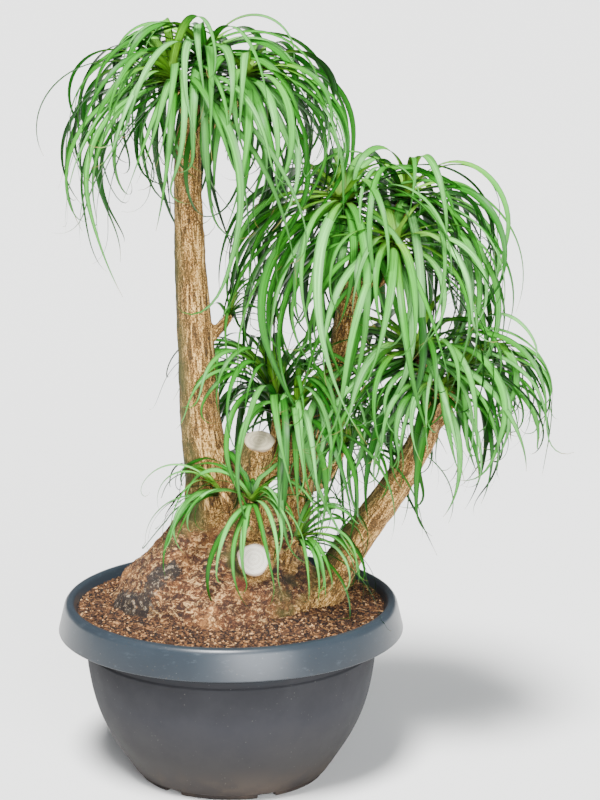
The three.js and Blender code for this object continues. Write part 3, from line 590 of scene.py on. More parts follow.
bark = {
    "limbSides": 28, "limbSubsteps": 4, "ridge": 0.03, "ridgeTwist": 1.7, "caudexSides": 72,
    "caudexSubsteps": 5, "lump": 0.05, "lumpClimb": 46, "smallLump": 0.7, "smallLumpClimb": 31,
    "voxel": 0.00322, "softening": 6, "limbsApart": 37.0, "caudexOutside": (1.1, 1.4),
    "caudexTop": (520, 560), "flatByCut": (2, 9), "cutReach": 1.3,
    # Relief in metres. Fissures and swells repeat 130 and 22 times a metre.
    "relief": {
        "Fold Size": 0.075, "Fold Depth": 0.022, "Flake Size": 0.017, "Flake Depth": 0.008,
        "Crumb Size": 0.007, "Crumb Depth": 0.0035, "Fissure Size": 1 / 130, "Fissure Depth": 0.0048,
        "Swell Size": 1 / 22, "Swell Depth": 0.005, "Hollow Depth": 0.016},
    # Stretch along each axis, size in millimetres, detail, roughness and distortion. Furrows and dashes
    # lie along the grain of the trunks, the other patterns in space.
    "patterns": {
        "broad": ((1, 1, 1), 60, 3.0, 0.6, 0.0), "furrows": ((1, 1, 0.13), 5.8, 2.0, 0.6, 0.8),
        "dashes": ((1, 1, 0.6), 1.9, 4.0, 0.78, 0.4), "crumbs": ((0.7, 0.7, 1.1), 7.8, 6.0, 0.82, 0.8),
        "patches": ((1, 1, 1), 50, 5.0, 0.66, 0.4), "winding": ((0.8, 0.8, 1.3), 22, 5.0, 0.62, 1.1),
        "ragged": ((1, 1, 1), 16, 5.0, 0.7, 0.0), "flecks": ((1, 1, 1), 9, 5.0, 0.75, 0.0)},
    # Colour, spread at which a stain starts and is full, and how far it covers. Moss is partly painted shade
    # and the hollow is painted shade.
    "stainsAndPaintedShade": {
        "scar": ("1a1512", 0.6, 0.68, 0.92), "redness": ("571f10", 0.55, 0.85, 0.75),
        "mossAndPaintedShade": ("4c4a1c", 0.5, 0.95, 0.6), "hollow": ("1d130c", 0.5, 0.85, 0.75)}}

# Marks on the caudex: what each is, its place and how far it spreads
marks = [
    ("scar", (-176, -82, 318), 44), ("scar", (-150, -108, 330), 34), ("scar", (-196, -36, 322), 30),
    ("scar", (-128, -98, 366), 34), ("scar", (-104, -98, 388), 26), ("scar", (-90, -96, 392), 15),
    ("scar", (44, -120, 352), 12), ("redness", (22, -120, 374), 20), ("redness", (44, -120, 380), 13),
    ("mossAndPaintedShade", (-84, -36, 452), 38), ("mossAndPaintedShade", (-110, -50, 424), 22), ("mossAndPaintedShade", (100, -112, 312), 44),
    ("mossAndPaintedShade", (-20, -96, 424), 22), ("mossAndPaintedShade", (112, -70, 366), 24),
    # These two moss marks are painted shade on the olive bark right of the flank cut
    ("mossAndPaintedShade", (92, -108, 344), 36), ("mossAndPaintedShade", (140, -84, 322), 40),
    # Hollow marks: painted shade in and around the sunk hollow
    ("hollow", (104, -66, 378), 34), ("hollow", (128, -40, 370), 24), ("hollow", (80, -92, 392), 20)]


# Points of a smooth curve through the given ones, evenly between each pair
def throughPoints(values, substeps):
    values = np.asarray(values, float)
    padded = np.vstack([2 * values[0] - values[1], values, 2 * values[-1] - values[-2]])
    result = []
    for k in range(len(values) - 1):
        a, b, c, d = padded[k:k + 4]
        for t in np.arange(substeps) / substeps:
            result.append(b + 0.5 * t * (c - a + t * (2 * a - 5 * b + 4 * c - d + t * (3 * (b - c) + d - a))))
    result.append(values[-1])
    return np.array(result)


# Quads between rings and one closing face at each end
def loftFaces(rings, sides):
    faces = [tuple(range(sides - 1, -1, -1)), tuple(range((rings - 1) * sides, rings * sides))]
    for r in range(rings - 1):
        for k in range(sides):
            a = r * sides + k
            b = r * sides + (k + 1) % sides
            faces.append((a, b, b + sides, a + sides))
    return faces


# Rings across the limb's axis, and its closing faces
def limbMesh(stations, endFace=None):
    sides = bark["limbSides"]
    table = throughPoints([[*p, r] for p, r in stations], bark["limbSubsteps"])
    places, radii = table[:, :3], table[:, 3]
    along = unit(np.gradient(places, axis=0))
    if endFace is not None:
        along[-1] = unit(np.array(endFace, float))
    side = np.array([1.0, 0, 0])
    u = unit(side - along * (along @ side)[:, None])
    v = np.cross(along, u)
    angle = np.arange(sides) * 2 * math.pi / sides
    turn = np.arange(len(places))[:, None] * bark["ridgeTwist"] / bark["limbSubsteps"]
    reach = radii[:, None] * (1 + bark["ridge"] * np.sin(3 * angle[None] + turn))
    rings = places[:, None] + reach[..., None] * (
        u[:, None] * np.cos(angle)[None, :, None] + v[:, None] * np.sin(angle)[None, :, None])
    return rings.reshape(-1, 3), loftFaces(len(places), sides)


def caudexMesh():
    sides = bark["caudexSides"]
    levels = throughPoints(caudexLevels, bark["caudexSubsteps"])
    angle = np.arange(sides) * 2 * math.pi / sides
    across, deep = np.cos(angle), np.sin(angle)
    rings = []
    for z, left, right, front, back in levels:
        wave = np.sin(3 * angle + z / bark["lumpClimb"])
        wave += bark["smallLump"] * np.sin(5 * angle - z / bark["smallLumpClimb"])
        swell = 1 + bark["lump"] * wave
        x = across * np.where(across > 0, right, left) * swell
        y = deep * np.where(deep > 0, back, front) * swell
        rings.append(np.stack([x, y, np.full(sides, z)], 1))
    return np.concatenate(rings), loftFaces(len(levels), sides)


# One closed skin over the caudex and every limb
def woodSkin():
    bodies = [caudexMesh()]
    bodies += [limbMesh(stations, sawnFaces.get(name)) for name, stations in limbs.items()]
    bodies += [limbMesh(branchStations(head), headAxis(head)) for head in heads]
    vertices, faces = [], []
    for points, sides in bodies:
        faces += [tuple(len(vertices) + k for k in face) for face in sides]
        vertices += points.tolist()
    skin = meshObject("wood_skin", vertices, faces)
    remesh = skin.modifiers.new("join", "REMESH")
    remesh.mode = "VOXEL"
    remesh.voxel_size = bark["voxel"]
    soften = skin.modifiers.new("soften", "SMOOTH")
    soften.factor = 0.5
    soften.iterations = bark["softening"]
    return bake(skin, "wood_smooth")


# For each point: its place in the frame of the limb it is on, and how far out of the limb it is
def nearestLimb(points):
    ratio = np.full(len(points), 1e9)
    grain = np.zeros((len(points), 3))
    chains = [*limbs.values()] + [branchStations(head) for head in heads]
    for number, stations in enumerate(chains):
        table = throughPoints([[*p, r] for p, r in stations], bark["limbSubsteps"])
        travelled = bark["limbsApart"] * number
        for start, end in zip(table, table[1:]):
            span = end[:3] - start[:3]
            length = np.linalg.norm(span)
            along = span / length
            t = np.clip((points - start[:3]) @ along / length, 0, 1)
            away = points - start[:3] - np.outer(t, span)
            out = np.linalg.norm(away, axis=1) / mix(start[3], end[3], t)
            closer = out < ratio
            side = unit(np.array([1.0, 0, 0]) - along * along[0])
            local = np.stack([away @ side, away @ np.cross(along, side), travelled + t * length], 1)
            ratio[closer] = out[closer]
            grain[closer] = local[closer]
            travelled += length
    return ratio, grain


# Where the bark's grain runs, where it is caudex rather than trunk, and where a saw left it flat
def storeBarkValues(mesh):
    points = pointsOf(mesh) / mm
    ratio, grain = nearestLimb(points)
    caudex = ramp(*bark["caudexOutside"], ratio) * (1 - ramp(*bark["caudexTop"], points[:, 2]))
    relief = np.ones(len(points))
    for name, normal in sawnFaces.items():
        centre, radius = limbs[name][-1]
        offset = points - np.array(centre, float)
        height = offset @ unit(np.array(normal, float))
        spread = np.linalg.norm(offset, axis=1)
        nearCut = spread < bark["cutReach"] * radius
        relief *= 1 - (1 - ramp(*bark["flatByCut"], np.abs(height))) * nearCut
    for kind in bark["stainsAndPaintedShade"]:
        spread = np.zeros(len(points))
        for name, place, size in marks:
            if name == kind:
                apart = np.linalg.norm(points - np.array(place, float), axis=1)
                spread = np.maximum(spread, 1 - 0.5 * apart / size)
        storeValues(mesh, kind, spread)
    storeValues(mesh, "caudex", caudex)
    storeValues(mesh, "relief", relief)
    storeValues(mesh, "grain", grain * mm, "FLOAT_VECTOR")


# Raises folds, flakes and crumbs on the caudex and fine fissures along the trunks
def barkTree(material):
    tree, add, inputs = geometryTree("barkRelief", bark["relief"])
    place = add("GeometryNodeInputPosition")
    caudex, hollow, smoothed, grain = [
        add("GeometryNodeInputNamedAttribute", {"Name": name}, data_type=kind)
        for name, kind in (("caudex", "FLOAT"), ("hollow", "FLOAT"), ("relief", "FLOAT"),
                           ("grain", "FLOAT_VECTOR"))]
    alongGrain = add("ShaderNodeVectorMath", (grain, (1.0, 1.0, 0.3)), operation="MULTIPLY")
    rises = {}
    for label, where, detail, roughness in (
            ("Fold", place, 2.0, 0.5), ("Flake", place, 2.0, 0.6), ("Crumb", place, 3.0, 0.7),
            ("Fissure", alongGrain, 3.0, 0.6), ("Swell", grain, 1.0, 0.5)):
        scale = add("ShaderNodeMath", (1.0, inputs[label + " Size"]), operation="DIVIDE")
        height = add("ShaderNodeTexNoise", {
            "Vector": where, "Scale": scale, "Detail": detail, "Roughness": roughness})
        height = add("ShaderNodeMath", (height, 0.5), operation="SUBTRACT")
        rises[label] = add("ShaderNodeMath", (height, inputs[label + " Depth"]), operation="MULTIPLY")
    sunk = add("ShaderNodeMapRange", (hollow, 0.5, 1.0, 0.0, -1.0), **eased)
    rises["Hollow"] = add("ShaderNodeMath", (sunk, inputs["Hollow Depth"]), operation="MULTIPLY")
    caudexRise = trunkRise = 0.0
    for label in ("Fold", "Flake", "Crumb", "Hollow"):
        caudexRise = add("ShaderNodeMath", (caudexRise, rises[label]), operation="ADD")
    for label in ("Fissure", "Swell"):
        trunkRise = add("ShaderNodeMath", (trunkRise, rises[label]), operation="ADD")
    rise = add("ShaderNodeMix", {0: caudex, 2: trunkRise, 3: caudexRise}, data_type="FLOAT")
    rise = add("ShaderNodeMath", (rise, smoothed), operation="MULTIPLY")
    outward = add("GeometryNodeInputNormal")
    offset = add("ShaderNodeVectorMath", {0: outward, "Scale": rise}, operation="SCALE")
    skin = add("GeometryNodeSetPosition", {"Geometry": inputs["Geometry"], "Offset": offset})
    skin = add("GeometryNodeSetShadeSmooth", {"Geometry": skin, "Shade Smooth": True})
    endTree(tree, skin, material)
    return tree


# Corky bark, as it weathers: dry and matt, pale flecks on tan with short dark cracks along the grain.
# Painted shade darkens the trunks' left flank, the caudex's winding cracks, the hollow and some moss marks.
def barkMaterial():
    material, add, shader = newMaterial("weatheredCorkyBark")
    grain = add("ShaderNodeAttribute", attribute_name="grain").outputs["Vector"]
    place = add("ShaderNodeTexCoord").outputs["Object"]
    caudex = add("ShaderNodeAttribute", attribute_name="caudex").outputs["Fac"]
    pattern = {}
    for name, (stretch, size, detail, roughness, distortion) in bark["patterns"].items():
        where = add("ShaderNodeMapping", {
            "Vector": grain if name in ("furrows", "dashes") else place, "Scale": stretch})
        pattern[name] = add("ShaderNodeTexNoise", {
            "Vector": where, "Scale": 1000 / size, "Detail": detail, "Roughness": roughness,
            "Distortion": distortion})
    tan = add("ShaderNodeValToRGB", (pattern["broad"],), stops=[
        (0.32, "553b14"), (0.5, "825f27"), (0.68, "a9823e")])
    rows = add("ShaderNodeMath", (pattern["dashes"], 0.62), operation="MULTIPLY")
    rows = add("ShaderNodeMath", (pattern["furrows"], 0.38, rows), operation="MULTIPLY_ADD")
    dashColour = add("ShaderNodeValToRGB", (rows,), stops=[
        (0.42, "0a0501"), (0.46, "352008"), (0.5, "775021"), (0.535, "b8863d"), (0.575, "ffd588")])
    # Dark green algae on the trunks' -X flank, which also stands as painted shade on that side
    flank = add("ShaderNodeSeparateXYZ", (grain,))
    algaeAndPaintedShade = add("ShaderNodeMath", (
        add("ShaderNodeMapRange", (flank, -0.028, -0.002, 0.96, 0.0), **eased),
        add("ShaderNodeMapRange", (pattern["broad"], 0.35, 0.6, 0.5, 1.0), **eased)), operation="MULTIPLY")
    earthy = add("ShaderNodeValToRGB", (pattern["patches"],), stops=[
        (0.38, "170902"), (0.46, "3f200c"), (0.54, "633819"), (0.62, "a36d38")])
    crumbColour = add("ShaderNodeValToRGB", (pattern["crumbs"],), stops=[
        (0.42, "050200"), (0.46, "200e04"), (0.5, "4f2c11"), (0.54, "945f2b"), (0.585, "ffd48f")])
    # Thin winding cracks drawn near black: the dark bark in the cracks and painted shade in them
    fromCrack = add("ShaderNodeMath", (pattern["winding"], 0.5), operation="SUBTRACT")
    fromCrack = add("ShaderNodeMath", (fromCrack,), operation="ABSOLUTE")
    cracks = add("ShaderNodeMapRange", (fromCrack, 0.004, 0.034, 0.85, 0.0), **eased)
    caudexColour = earthy
    for cover, over in ((0.5, crumbColour), (cracks, linear("1c0d05"))):
        caudexColour = add("ShaderNodeMix", {
            0: cover, 6: caudexColour, 7: over}, data_type="RGBA").outputs[2]
    layers = [(0.78, dashColour), (algaeAndPaintedShade, linear("373b12")), (caudex, caudexColour)]
    ragged = add("ShaderNodeMath", (pattern["ragged"], 0.5), operation="SUBTRACT")
    # Scar and redness are the bark's own colour; the moss is partly painted shade and the hollow is painted
    # shade
    for kind, (code, low, high, most) in bark["stainsAndPaintedShade"].items():
        mark = add("ShaderNodeAttribute", attribute_name=kind).outputs["Fac"]
        spread = add("ShaderNodeMath", (ragged, 1.3, mark), operation="MULTIPLY_ADD")
        cover = add("ShaderNodeMapRange", (spread, low, high, 0.0, most), **eased)
        cover = add("ShaderNodeMath", (cover, caudex), operation="MULTIPLY")
        layers.append((cover, linear(code)))
    scar = add("ShaderNodeAttribute", attribute_name="scar").outputs["Fac"]
    paleSpots = add("ShaderNodeMath", (
        add("ShaderNodeMapRange", (pattern["flecks"], 0.54, 0.62, 0.0, 0.75), **eased),
        add("ShaderNodeMapRange", (scar, 0.55, 0.75), **eased)), operation="MULTIPLY")
    layers.append((paleSpots, linear("a08f78")))
    colour = tan
    for cover, over in layers:
        colour = add("ShaderNodeMix", {0: cover, 6: colour, 7: over}, data_type="RGBA").outputs[2]
    coarse = add("ShaderNodeMix", {0: caudex, 2: rows, 3: pattern["crumbs"]}, data_type="FLOAT")
    bump = add("ShaderNodeBump", {"Height": coarse, "Strength": 0.85, "Distance": 0.004})
    setInputs(shader, {"Base Color": colour, "Normal": bump, "Roughness": 0.9})
    return material


def makeWood():
    skin = woodSkin()
    storeBarkValues(skin.data)
    wood = bake(skin, "corky_wood", barkTree(barkMaterial()), bark["relief"])
    finishPiece(wood, "bark", "caudex_and_trunks")


print("growing wood")
makeWood()


# Bodies of revolution: eased corners, then a closed skin turned about the axis

# corners are (radius, height, ease), ease being how far from the corner its rounding starts
def easedOutline(corners, steps=4):
    places = np.array([corner[:2] for corner in corners], float)
    outline = [places[0]]
    for before, here, after, corner in zip(places, places[1:], places[2:], corners[1:]):
        if corner[2] == 0:
            outline.append(here)
            continue
        start = here + unit(before - here) * corner[2]
        end = here + unit(after - here) * corner[2]
        for t in np.linspace(0, 1, steps + 1):
            outline.append(mix(mix(start, here, t), mix(here, end, t), t))
    return np.array([*outline, places[-1]])


# The outline starts and ends on the axis and runs up the outside
def turnedMesh(outline, angles):
    sides = len(angles)
    rings = np.array(outline[1:-1])
    around = np.stack([np.cos(angles), np.sin(angles)], 1)
    skin = np.empty((len(rings), sides, 3))
    skin[..., :2] = rings[:, None, :1] * around
    skin[..., 2] = rings[:, 1:]
    vertices = [*skin.reshape(-1, 3), (0, 0, outline[0][1]), (0, 0, outline[-1][1])]
    first, last = len(rings) * sides, (len(rings) - 1) * sides
    faces = []
    for k in range(sides):
        after = (k + 1) % sides
        faces.append((first, after, k))
        faces.append((first + 1, last + k, last + after))
        for r in range(0, last, sides):
            faces.append((r + k, r + after, r + sides + after, r + sides + k))
    return np.array(vertices, float), faces


# Moulded nursery pot

pot = {
    "columns": 200, "notches": 6, "firstNotch": -67, "notchHalfWidth": 17, "notchHeight": 6.2,
    "footInside": 149, "footOutside": 163, "edgeWidth": 0.5, "holeRadius": 9, "holeAt": 131.5,
    "holeSides": 40, "holeDepth": 40, "crease": 34, "shadeSpan": 320, "rimFrom": 250, "rimTo": 262,
    "dustTo": 90,
    # Radius, height and how far the corner is eased
    "outline": [
        (0, 0, 0), (112, 0, 1.2), (115, 5, 1.2), (148, 5, 1.2), (151, 0, 1), (162, 0, 1.4), (162, 8, 1.6),
        (170, 10, 3), (190, 40, 14), (215, 80, 18), (233, 120, 18), (244, 160, 18), (251, 205, 12),
        (251.5, 228, 0.8), (249, 231, 0.8), (249.5, 241, 0.8), (247, 244, 0.8), (247.5, 264, 4),
        (267.5, 286, 4), (274, 304, 3), (284, 304, 3), (295, 258, 0.8), (300, 259.5, 1.4), (289, 306, 5),
        (283, 312, 4), (275, 312, 2.6), (272, 308, 2), (263, 286, 2), (243, 264, 4), (246, 205, 12),
        (239.5, 160, 14), (228.5, 120, 14), (185.5, 40, 14), (158, 9, 4), (0, 9, 0)]}


# Column angles, with a close pair at each side of every drain notch
def potAngles():
    angles = list(np.arange(pot["columns"]) * 2 * math.pi / pot["columns"])
    notches = math.radians(pot["firstNotch"]) + np.arange(pot["notches"]) * 2 * math.pi / pot["notches"]
    for turn in notches:
        for half in (pot["notchHalfWidth"] - pot["edgeWidth"], pot["notchHalfWidth"] + pot["edgeWidth"]):
            angles += [(turn + side * half / pot["footOutside"]) % (2 * math.pi) for side in (-1, 1)]
    return np.sort(angles), notches


def makePot():
    angles, notches = potAngles()
    vertices, faces = turnedMesh(easedOutline(pot["outline"]), angles)
    reach = np.hypot(vertices[:, 0], vertices[:, 1])
    foot = (reach > pot["footInside"]) & (reach < pot["footOutside"])
    around = np.arctan2(vertices[:, 1], vertices[:, 0])
    for turn in notches:
        apart = np.abs((around - turn + math.pi) % (2 * math.pi) - math.pi) * pot["footOutside"]
        inNotch = foot & (apart < pot["notchHalfWidth"])
        vertices[inNotch, 2] = np.maximum(vertices[inNotch, 2], pot["notchHeight"])
    body = meshObject("pot_body", vertices, faces)
    cutters = []
    for turn in notches:
        bpy.ops.mesh.primitive_cylinder_add(
            vertices=pot["holeSides"], radius=pot["holeRadius"] * mm, depth=pot["holeDepth"] * mm,
            location=(pot["holeAt"] * mm * math.cos(turn), pot["holeAt"] * mm * math.sin(turn), 0))
        cutters.append(bpy.context.object)
        cut = body.modifiers.new("drain", "BOOLEAN")
        cut.operation = "DIFFERENCE"
        cut.solver = "EXACT"
        cut.object = cutters[-1]
    piece = bake(body, "moulded_pot")
    for cutter in cutters:
        bpy.data.objects.remove(cutter)
    piece.data.materials.clear()
    piece.data.materials.append(potMaterial())
    piece.data.shade_smooth()
    piece.data.set_sharp_from_angle(angle=math.radians(pot["crease"]))
    finishPiece(piece, "pot", "pot")


# Charcoal polypropylene with a fine moulded grain: greyer where the rim has weathered, dusty low down.
# Its shade drifts over 70 mm, scuffs are 20 mm wide, and dots of dust lie 6 mm apart in patches of
# 30 mm. The grain is drawn 1.6 mm across so that it shows.
def potMaterial():
    material, add, shader = newMaterial("mouldedPolypropylene")
    place = add("ShaderNodeTexCoord").outputs["Object"]
    height = add("ShaderNodeSeparateXYZ", (place,)).outputs[2]
    cloud = add("ShaderNodeTexNoise", {"Vector": place, "Scale": 1000 / 70, "Detail": 4.0, "Roughness": 0.6})
    upShare = add("ShaderNodeMath", (height, pot["shadeSpan"] * mm), operation="DIVIDE")
    drift = add("ShaderNodeMath", (cloud, 0.5), operation="SUBTRACT")
    shade = add("ShaderNodeMath", (drift, 0.16, upShare), operation="MULTIPLY_ADD")
    # The ramp is darkest in the band under the rim's overhanging skirt: painted shade
    colour = add("ShaderNodeValToRGB", (shade,), stops=[
        (0.0, "1f1713"), (0.2, "1c1918"), (0.5, "202025"), (0.74, "18181c"), (0.82, "1f252b"),
        (1.0, "293138")])
    rim = add("ShaderNodeMapRange", (height, pot["rimFrom"] * mm, pot["rimTo"] * mm), **eased)
    upright = add("ShaderNodeMapping", {"Vector": place, "Scale": (1, 1, 3.0)})
    scuffs = add("ShaderNodeTexNoise", {
        "Vector": upright, "Scale": 1000 / 20, "Detail": 5.0, "Roughness": 0.72})
    thinned = add("ShaderNodeTexNoise", {
        "Vector": place, "Scale": 1000 / 30, "Detail": 3.0, "Roughness": 0.6})
    dots = add("ShaderNodeTexVoronoi", {"Vector": place, "Scale": 170.0, "Randomness": 1.0}).outputs
    dot = add("ShaderNodeMapRange", (dots["Distance"], 0.1, 0.2, 1.0, 0.0), **eased)
    kind = add("ShaderNodeSeparateColor", (dots["Color"],)).outputs
    for code, start, others in (
            ("6b747c", add("ShaderNodeMapRange", (scuffs, 0.56, 0.74, 0.0, 0.18), **eased), (rim,)),
            ("a39d92", add("ShaderNodeMapRange", (kind[0], 0.6, 0.7, 0.0, 0.15), **eased),
             (dot, add("ShaderNodeMapRange", (thinned, 0.45, 0.62), **eased))),
            ("3a3129", add("ShaderNodeMapRange", (kind[1], 0.72, 0.8, 0.0, 0.7), **eased), (dot, rim)),
            ("6d5c4c", add("ShaderNodeMapRange", (height, 0.0, pot["dustTo"] * mm, 0.2, 0.0), **eased),
             (add("ShaderNodeMapRange", (cloud, 0.4, 0.65), **eased),))):
        cover = start
        for other in others:
            cover = add("ShaderNodeMath", (cover, other), operation="MULTIPLY")
        colour = add("ShaderNodeMix", {0: cover, 6: colour, 7: linear(code)}, data_type="RGBA").outputs[2]
    gloss = add("ShaderNodeMapRange", (rim, 0.0, 1.0, 1.0, 0.4))
    wear = add("ShaderNodeMath", (
        add("ShaderNodeMapRange", (cloud, 0.3, 0.7, 0.78, 0.88), **eased), gloss), operation="MULTIPLY")
    grain = add("ShaderNodeTexNoise", {
        "Vector": place, "Scale": 1000 / 1.6, "Detail": 2.0, "Roughness": 0.5})
    bump = add("ShaderNodeBump", {"Height": grain, "Strength": 0.12, "Distance": 0.0004})
    setInputs(shader, {
        "Base Color": colour, "Normal": bump, "Roughness": wear, "IOR": 1.49, "Specular IOR Level": 0.45})
    return material


print("moulding pot")
makePot()


# Potting mix: a body that fills the pot, with a crumbly top that crumbs, chips and fibres lie on

soil = {
    "columns": 220, "ringStep": 5.5, "innermost": 4, "edge": 266.6, "edgeHeight": 296, "crown": 314,
    "doming": 3, "heaveSize": 34, "pitSize": 9, "fade": 14, "nearWood": 0.93, "bareFrom": 0.2,
    # How deep it heaves and is pitted, in metres, and how many pieces lie on a square metre
    "form": {"Heave": 0.01, "Pit Depth": 0.0044, "Crumbs": 42000.0, "Chips": 26000.0, "Fibres": 12500.0},
    # Least and largest size in millimetres, how far one may tilt, and the seed
    "litter": {"Crumbs": ((2.0, 5.4), 1.5, 11), "Chips": ((4.5, 13.0), 0.5, 21),
               "Fibres": ((7.0, 20.0), 0.35, 31)},
    # Radius and height of the side that stands against the pot
    "wall": [(0, 9.3), (157.7, 9.3), (185.2, 40), (228.2, 120), (239.2, 160), (245.7, 205),
             (242.7, 264), (262.7, 286)]}


def makeSoilBody():
    inner = np.arange(soil["edge"] - soil["ringStep"], soil["innermost"], -soil["ringStep"])
    rise = soil["crown"] - soil["edgeHeight"]
    top = [(r, soil["edgeHeight"] + rise * (1 - (r / soil["edge"]) ** soil["doming"])) for r in inner]
    outline = [*soil["wall"], (soil["edge"], soil["edgeHeight"]), *top, (0, soil["crown"])]
    angles = np.arange(soil["columns"]) * 2 * math.pi / soil["columns"]
    vertices, faces = turnedMesh(outline, angles)
    reach = np.hypot(vertices[:, 0], vertices[:, 1])
    free = (vertices[:, 2] > soil["edgeHeight"] - 1) * ramp(0, soil["fade"], soil["edge"] - reach)
    left, right, front, back = caudexLevels[2][1:]  # Where the caudex leaves the mix
    x = vertices[:, 0] / np.where(vertices[:, 0] < 0, left, right)
    y = vertices[:, 1] / np.where(vertices[:, 1] < 0, front, back)
    body = meshObject("soil_body", vertices, faces)
    storeValues(body.data, "top", free)
    storeValues(body.data, "bare", (np.hypot(x, y) > soil["nearWood"]) & (free > soil["bareFrom"]))
    return body


# Instances of a unit shape, strewn over the surface where it is bare, each with its own shade
def strewn(add, surface, shape, density, sizes, tilt, seed):
    bare = add("GeometryNodeInputNamedAttribute", {"Name": "bare"})
    density = add("ShaderNodeMath", (bare, density), operation="MULTIPLY")
    points = add("GeometryNodeDistributePointsOnFaces", {"Mesh": surface, "Density": density, "Seed": seed})
    turn = add("FunctionNodeRandomValue", {
        0: (-tilt, -tilt, 0.0), 1: (tilt, tilt, 2 * math.pi), "Seed": seed + 1}, data_type="FLOAT_VECTOR")
    size = add("FunctionNodeRandomValue", {
        2: sizes[0] * mm, 3: sizes[1] * mm, "Seed": seed + 2}, data_type="FLOAT").outputs[1]
    shade = add("FunctionNodeRandomValue", {
        2: 0.0, 3: 1.0, "Seed": seed + 3}, data_type="FLOAT").outputs[1]
    placed = add("GeometryNodeInstanceOnPoints", {
        "Points": points, "Instance": shape, "Rotation": turn, "Scale": size})
    return add("GeometryNodeStoreNamedAttribute", {
        "Geometry": placed, "Name": "shade", "Value": shade}, domain="INSTANCE")


# A block bent out of true, thick for a crumb and flat for a chip. Noise about its mean shifts each
# corner by up to a third.
def crumbShape(add, proportions, seed):
    block = add("GeometryNodeMeshCube", {"Size": (0.75, 0.75, 0.75)})
    place = add("GeometryNodeInputPosition")
    wobble = add("ShaderNodeTexNoise", {"Vector": place, "Scale": 1.7, "W": seed}, noise_dimensions="4D")
    dented = add("ShaderNodeVectorMath", (wobble.outputs["Color"], (0.7, 0.7, 0.7), place),
                 operation="MULTIPLY_ADD")
    dented = add("ShaderNodeVectorMath", (dented, (0.35, 0.35, 0.35)), operation="SUBTRACT")
    shaped = add("ShaderNodeVectorMath", (dented, proportions), operation="MULTIPLY")
    return add("GeometryNodeSetPosition", {"Geometry": block, "Position": shaped})


# A thin bent thread of unit length
def fibreShape(add):
    bend = add("GeometryNodeCurveQuadraticBezier", {
        "Resolution": 4, "Start": (-0.5, 0, 0), "Middle": (0.05, 0.3, 0.12), "End": (0.5, -0.1, 0.02)})
    ring = add("GeometryNodeCurvePrimitiveCircle", {"Resolution": 3, "Radius": 0.028})
    return add("GeometryNodeCurveToMesh", {"Curve": bend, "Profile Curve": ring, "Fill Caps": True})


def soilTree(material):
    tree, add, inputs = geometryTree("pottingMix", soil["form"])
    place = add("GeometryNodeInputPosition")
    heave = add("ShaderNodeTexNoise", {"Vector": place, "Scale": 1000 / soil["heaveSize"], "Detail": 2.0})
    pits = add("ShaderNodeTexNoise", {
        "Vector": place, "Scale": 1000 / soil["pitSize"], "Detail": 3.0, "Roughness": 0.7})
    rise = 0.0
    for height, depth in ((heave, inputs["Heave"]), (pits, inputs["Pit Depth"])):
        height = add("ShaderNodeMath", (height, 0.5), operation="SUBTRACT")
        height = add("ShaderNodeMath", (height, depth), operation="MULTIPLY")
        rise = add("ShaderNodeMath", (rise, height), operation="ADD")
    top = add("GeometryNodeInputNamedAttribute", {"Name": "top"})
    rise = add("ShaderNodeMath", (rise, top), operation="MULTIPLY")
    offset = add("ShaderNodeCombineXYZ", (0.0, 0.0, rise))
    body = add("GeometryNodeSetPosition", {"Geometry": inputs["Geometry"], "Offset": offset})
    body = add("GeometryNodeSetShadeSmooth", {"Geometry": body, "Shade Smooth": True})
    # The body takes its shade from the pits' noise, so it is darker the deeper it is pitted: painted shade
    body = add("GeometryNodeStoreNamedAttribute", {"Geometry": body, "Name": "shade", "Value": pits})
    shapes = {"Crumbs": crumbShape(add, (1.0, 0.8, 0.7), 1.0),
              "Chips": crumbShape(add, (1.0, 0.5, 0.22), 5.0), "Fibres": fibreShape(add)}
    laid = [strewn(add, body, shapes[name], inputs[name], *lain)
            for name, lain in soil["litter"].items()]
    joined = add("GeometryNodeJoinGeometry")
    for part in (body, *laid):
        setInputs(joined, (part,))
    endTree(tree, joined, material)
    return tree


# Bark and coir potting mix: dull crumbs from near black to red brown, with pale chips among them.
# Each crumb has its own shade, and a grain of 3.5 mm breaks it up.
def soilMaterial():
    material, add, shader = newMaterial("barkPottingMix")
    place = add("ShaderNodeTexCoord").outputs["Object"]
    fine = add("ShaderNodeTexNoise", {"Vector": place, "Scale": 1000 / 3.5, "Detail": 4.0, "Roughness": 0.7})
    own = add("ShaderNodeAttribute", attribute_name="shade").outputs["Fac"]
    shade = add("ShaderNodeMath", (fine, 0.5), operation="SUBTRACT")
    shade = add("ShaderNodeMath", (shade, 0.35, own), operation="MULTIPLY_ADD")
    colour = add("ShaderNodeValToRGB", (shade,), stops=[
        (0.0, "0b0401"), (0.3, "221106"), (0.55, "462a13"), (0.78, "714a29"), (0.92, "966b40"),
        (1.0, "c59d6d")])
    bump = add("ShaderNodeBump", {"Height": fine, "Strength": 0.8, "Distance": 0.002})
    setInputs(shader, {"Base Color": colour, "Normal": bump, "Roughness": 0.92})
    return material


def makeSoil():
    piece = bake(makeSoilBody(), "potting_mix", soilTree(soilMaterial()), soil["form"])
    finishPiece(piece, "soil", "soil")


print("filling pot")
makeSoil()


# Sawn faces: a plug of end grain in each cut, just proud of the bark

sawn = {"sides": 72, "share": 0.93, "proud": 0.8, "bulge": 0.3, "ease": 0.9, "depth": 9, "wobble": 0.05,
        "age": {"sawnStump": 1.0, "sawnFlank": 0.0}}


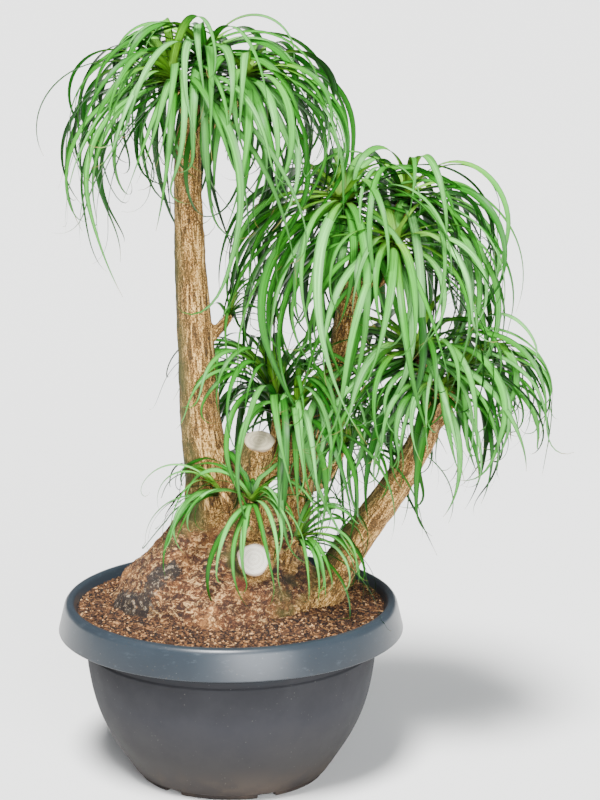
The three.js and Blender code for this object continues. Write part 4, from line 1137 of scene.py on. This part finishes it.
def makeSawnFaces():
    vertices, faces, rings, ages = [], [], [], []
    angles = np.arange(sawn["sides"]) * 2 * math.pi / sawn["sides"]
    for name, normal in sawnFaces.items():
        centre, radius = limbs[name][-1]
        reach = radius * sawn["share"]
        outline = easedOutline([
            (0, -sawn["depth"], 0), (reach, -sawn["depth"], 0), (reach, sawn["proud"], sawn["ease"]),
            (0.5 * reach, sawn["proud"] + sawn["bulge"], 0), (0, sawn["proud"], 0)])
        local, sides = turnedMesh(outline, angles)
        around = np.arctan2(local[:, 1], local[:, 0])
        local[:, :2] *= 1 + sawn["wobble"] * (np.sin(3 * around) + 0.5 * np.sin(5 * around + 1))[:, None]
        up = unit(np.array(normal, float))
        u = unit(np.cross([0, 0, 1.0], up))
        faces += [tuple(len(vertices) + k for k in side) for side in sides]
        vertices += (np.array(centre, float) + local @ np.stack([u, np.cross(up, u), up])).tolist()
        rings += (local * mm).tolist()
        ages += [sawn["age"][name]] * len(local)
    caps = meshObject("sawn_faces", vertices, faces)
    storeValues(caps.data, "across", rings, "FLOAT_VECTOR")
    storeValues(caps.data, "age", ages)
    caps.data.materials.append(sawnMaterial())
    caps.data.shade_smooth()
    caps.data.set_sharp_from_angle(angle=math.radians(50))
    finishPiece(caps, "bark")


# End grain of soft fibrous wood: rings 2 and 7.5 mm apart, short radial checks. The old stump cut is
# painted paler and warmer than the fresh one: painted light against the shade of the leaves over it
def sawnMaterial():
    material, add, shader = newMaterial("sawnEndGrain")
    across = add("ShaderNodeAttribute", attribute_name="across").outputs["Vector"]
    age = add("ShaderNodeAttribute", attribute_name="age").outputs["Fac"]
    wander, fibres = [
        add("ShaderNodeTexNoise", {
            "Vector": across, "Scale": 1000 / size, "Detail": 3.0, "Roughness": roughness})
        for size, roughness in ((20, 0.6), (1.6, 0.7))]
    reach = add("ShaderNodeVectorMath", (across,), operation="LENGTH").outputs["Value"]
    bent = add("ShaderNodeMath", (wander, 0.008, reach), operation="MULTIPLY_ADD")
    wave, wide = [
        add("ShaderNodeMath", (add("ShaderNodeMath", (bent, pace), operation="MULTIPLY"),), operation="SINE")
        for pace in (2900.0, 830.0)]
    rings = add("ShaderNodeMath", (wide, 0.5, wave), operation="MULTIPLY_ADD")
    rings = add("ShaderNodeMapRange", (rings, -1.4, 1.4), **eased)
    # The old stump cut is paler and warmer than the fresh flank cut: painted light making up for the leaves'
    # shade
    oldCutWithPaintedLight = add("ShaderNodeValToRGB", (rings,), stops=[(0, "cdb993"), (0.5, "efe0bb"), (1, "fdf1d2")])
    newColour = add("ShaderNodeValToRGB", (rings,), stops=[(0, "c2b8a3"), (0.5, "d9d2c0"), (1, "ece7da")])
    colour = newColour
    for cover, over in (
            (age, oldCutWithPaintedLight),
            (add("ShaderNodeMapRange", (fibres, 0.58, 0.72, 0.0, 0.5), **eased), linear("8a7258")),
            (add("ShaderNodeMapRange", (reach, 0.0235, 0.0268, 0.0, 0.8), **eased), linear("7a5a40"))):
        colour = add("ShaderNodeMix", {0: cover, 6: colour, 7: over}, data_type="RGBA").outputs[2]
    bump = add("ShaderNodeBump", {"Height": wave, "Strength": 0.25, "Distance": 0.0005})
    setInputs(shader, {"Base Color": colour, "Normal": bump, "Roughness": 0.85})
    return material


print("cutting faces")
makeSawnFaces()
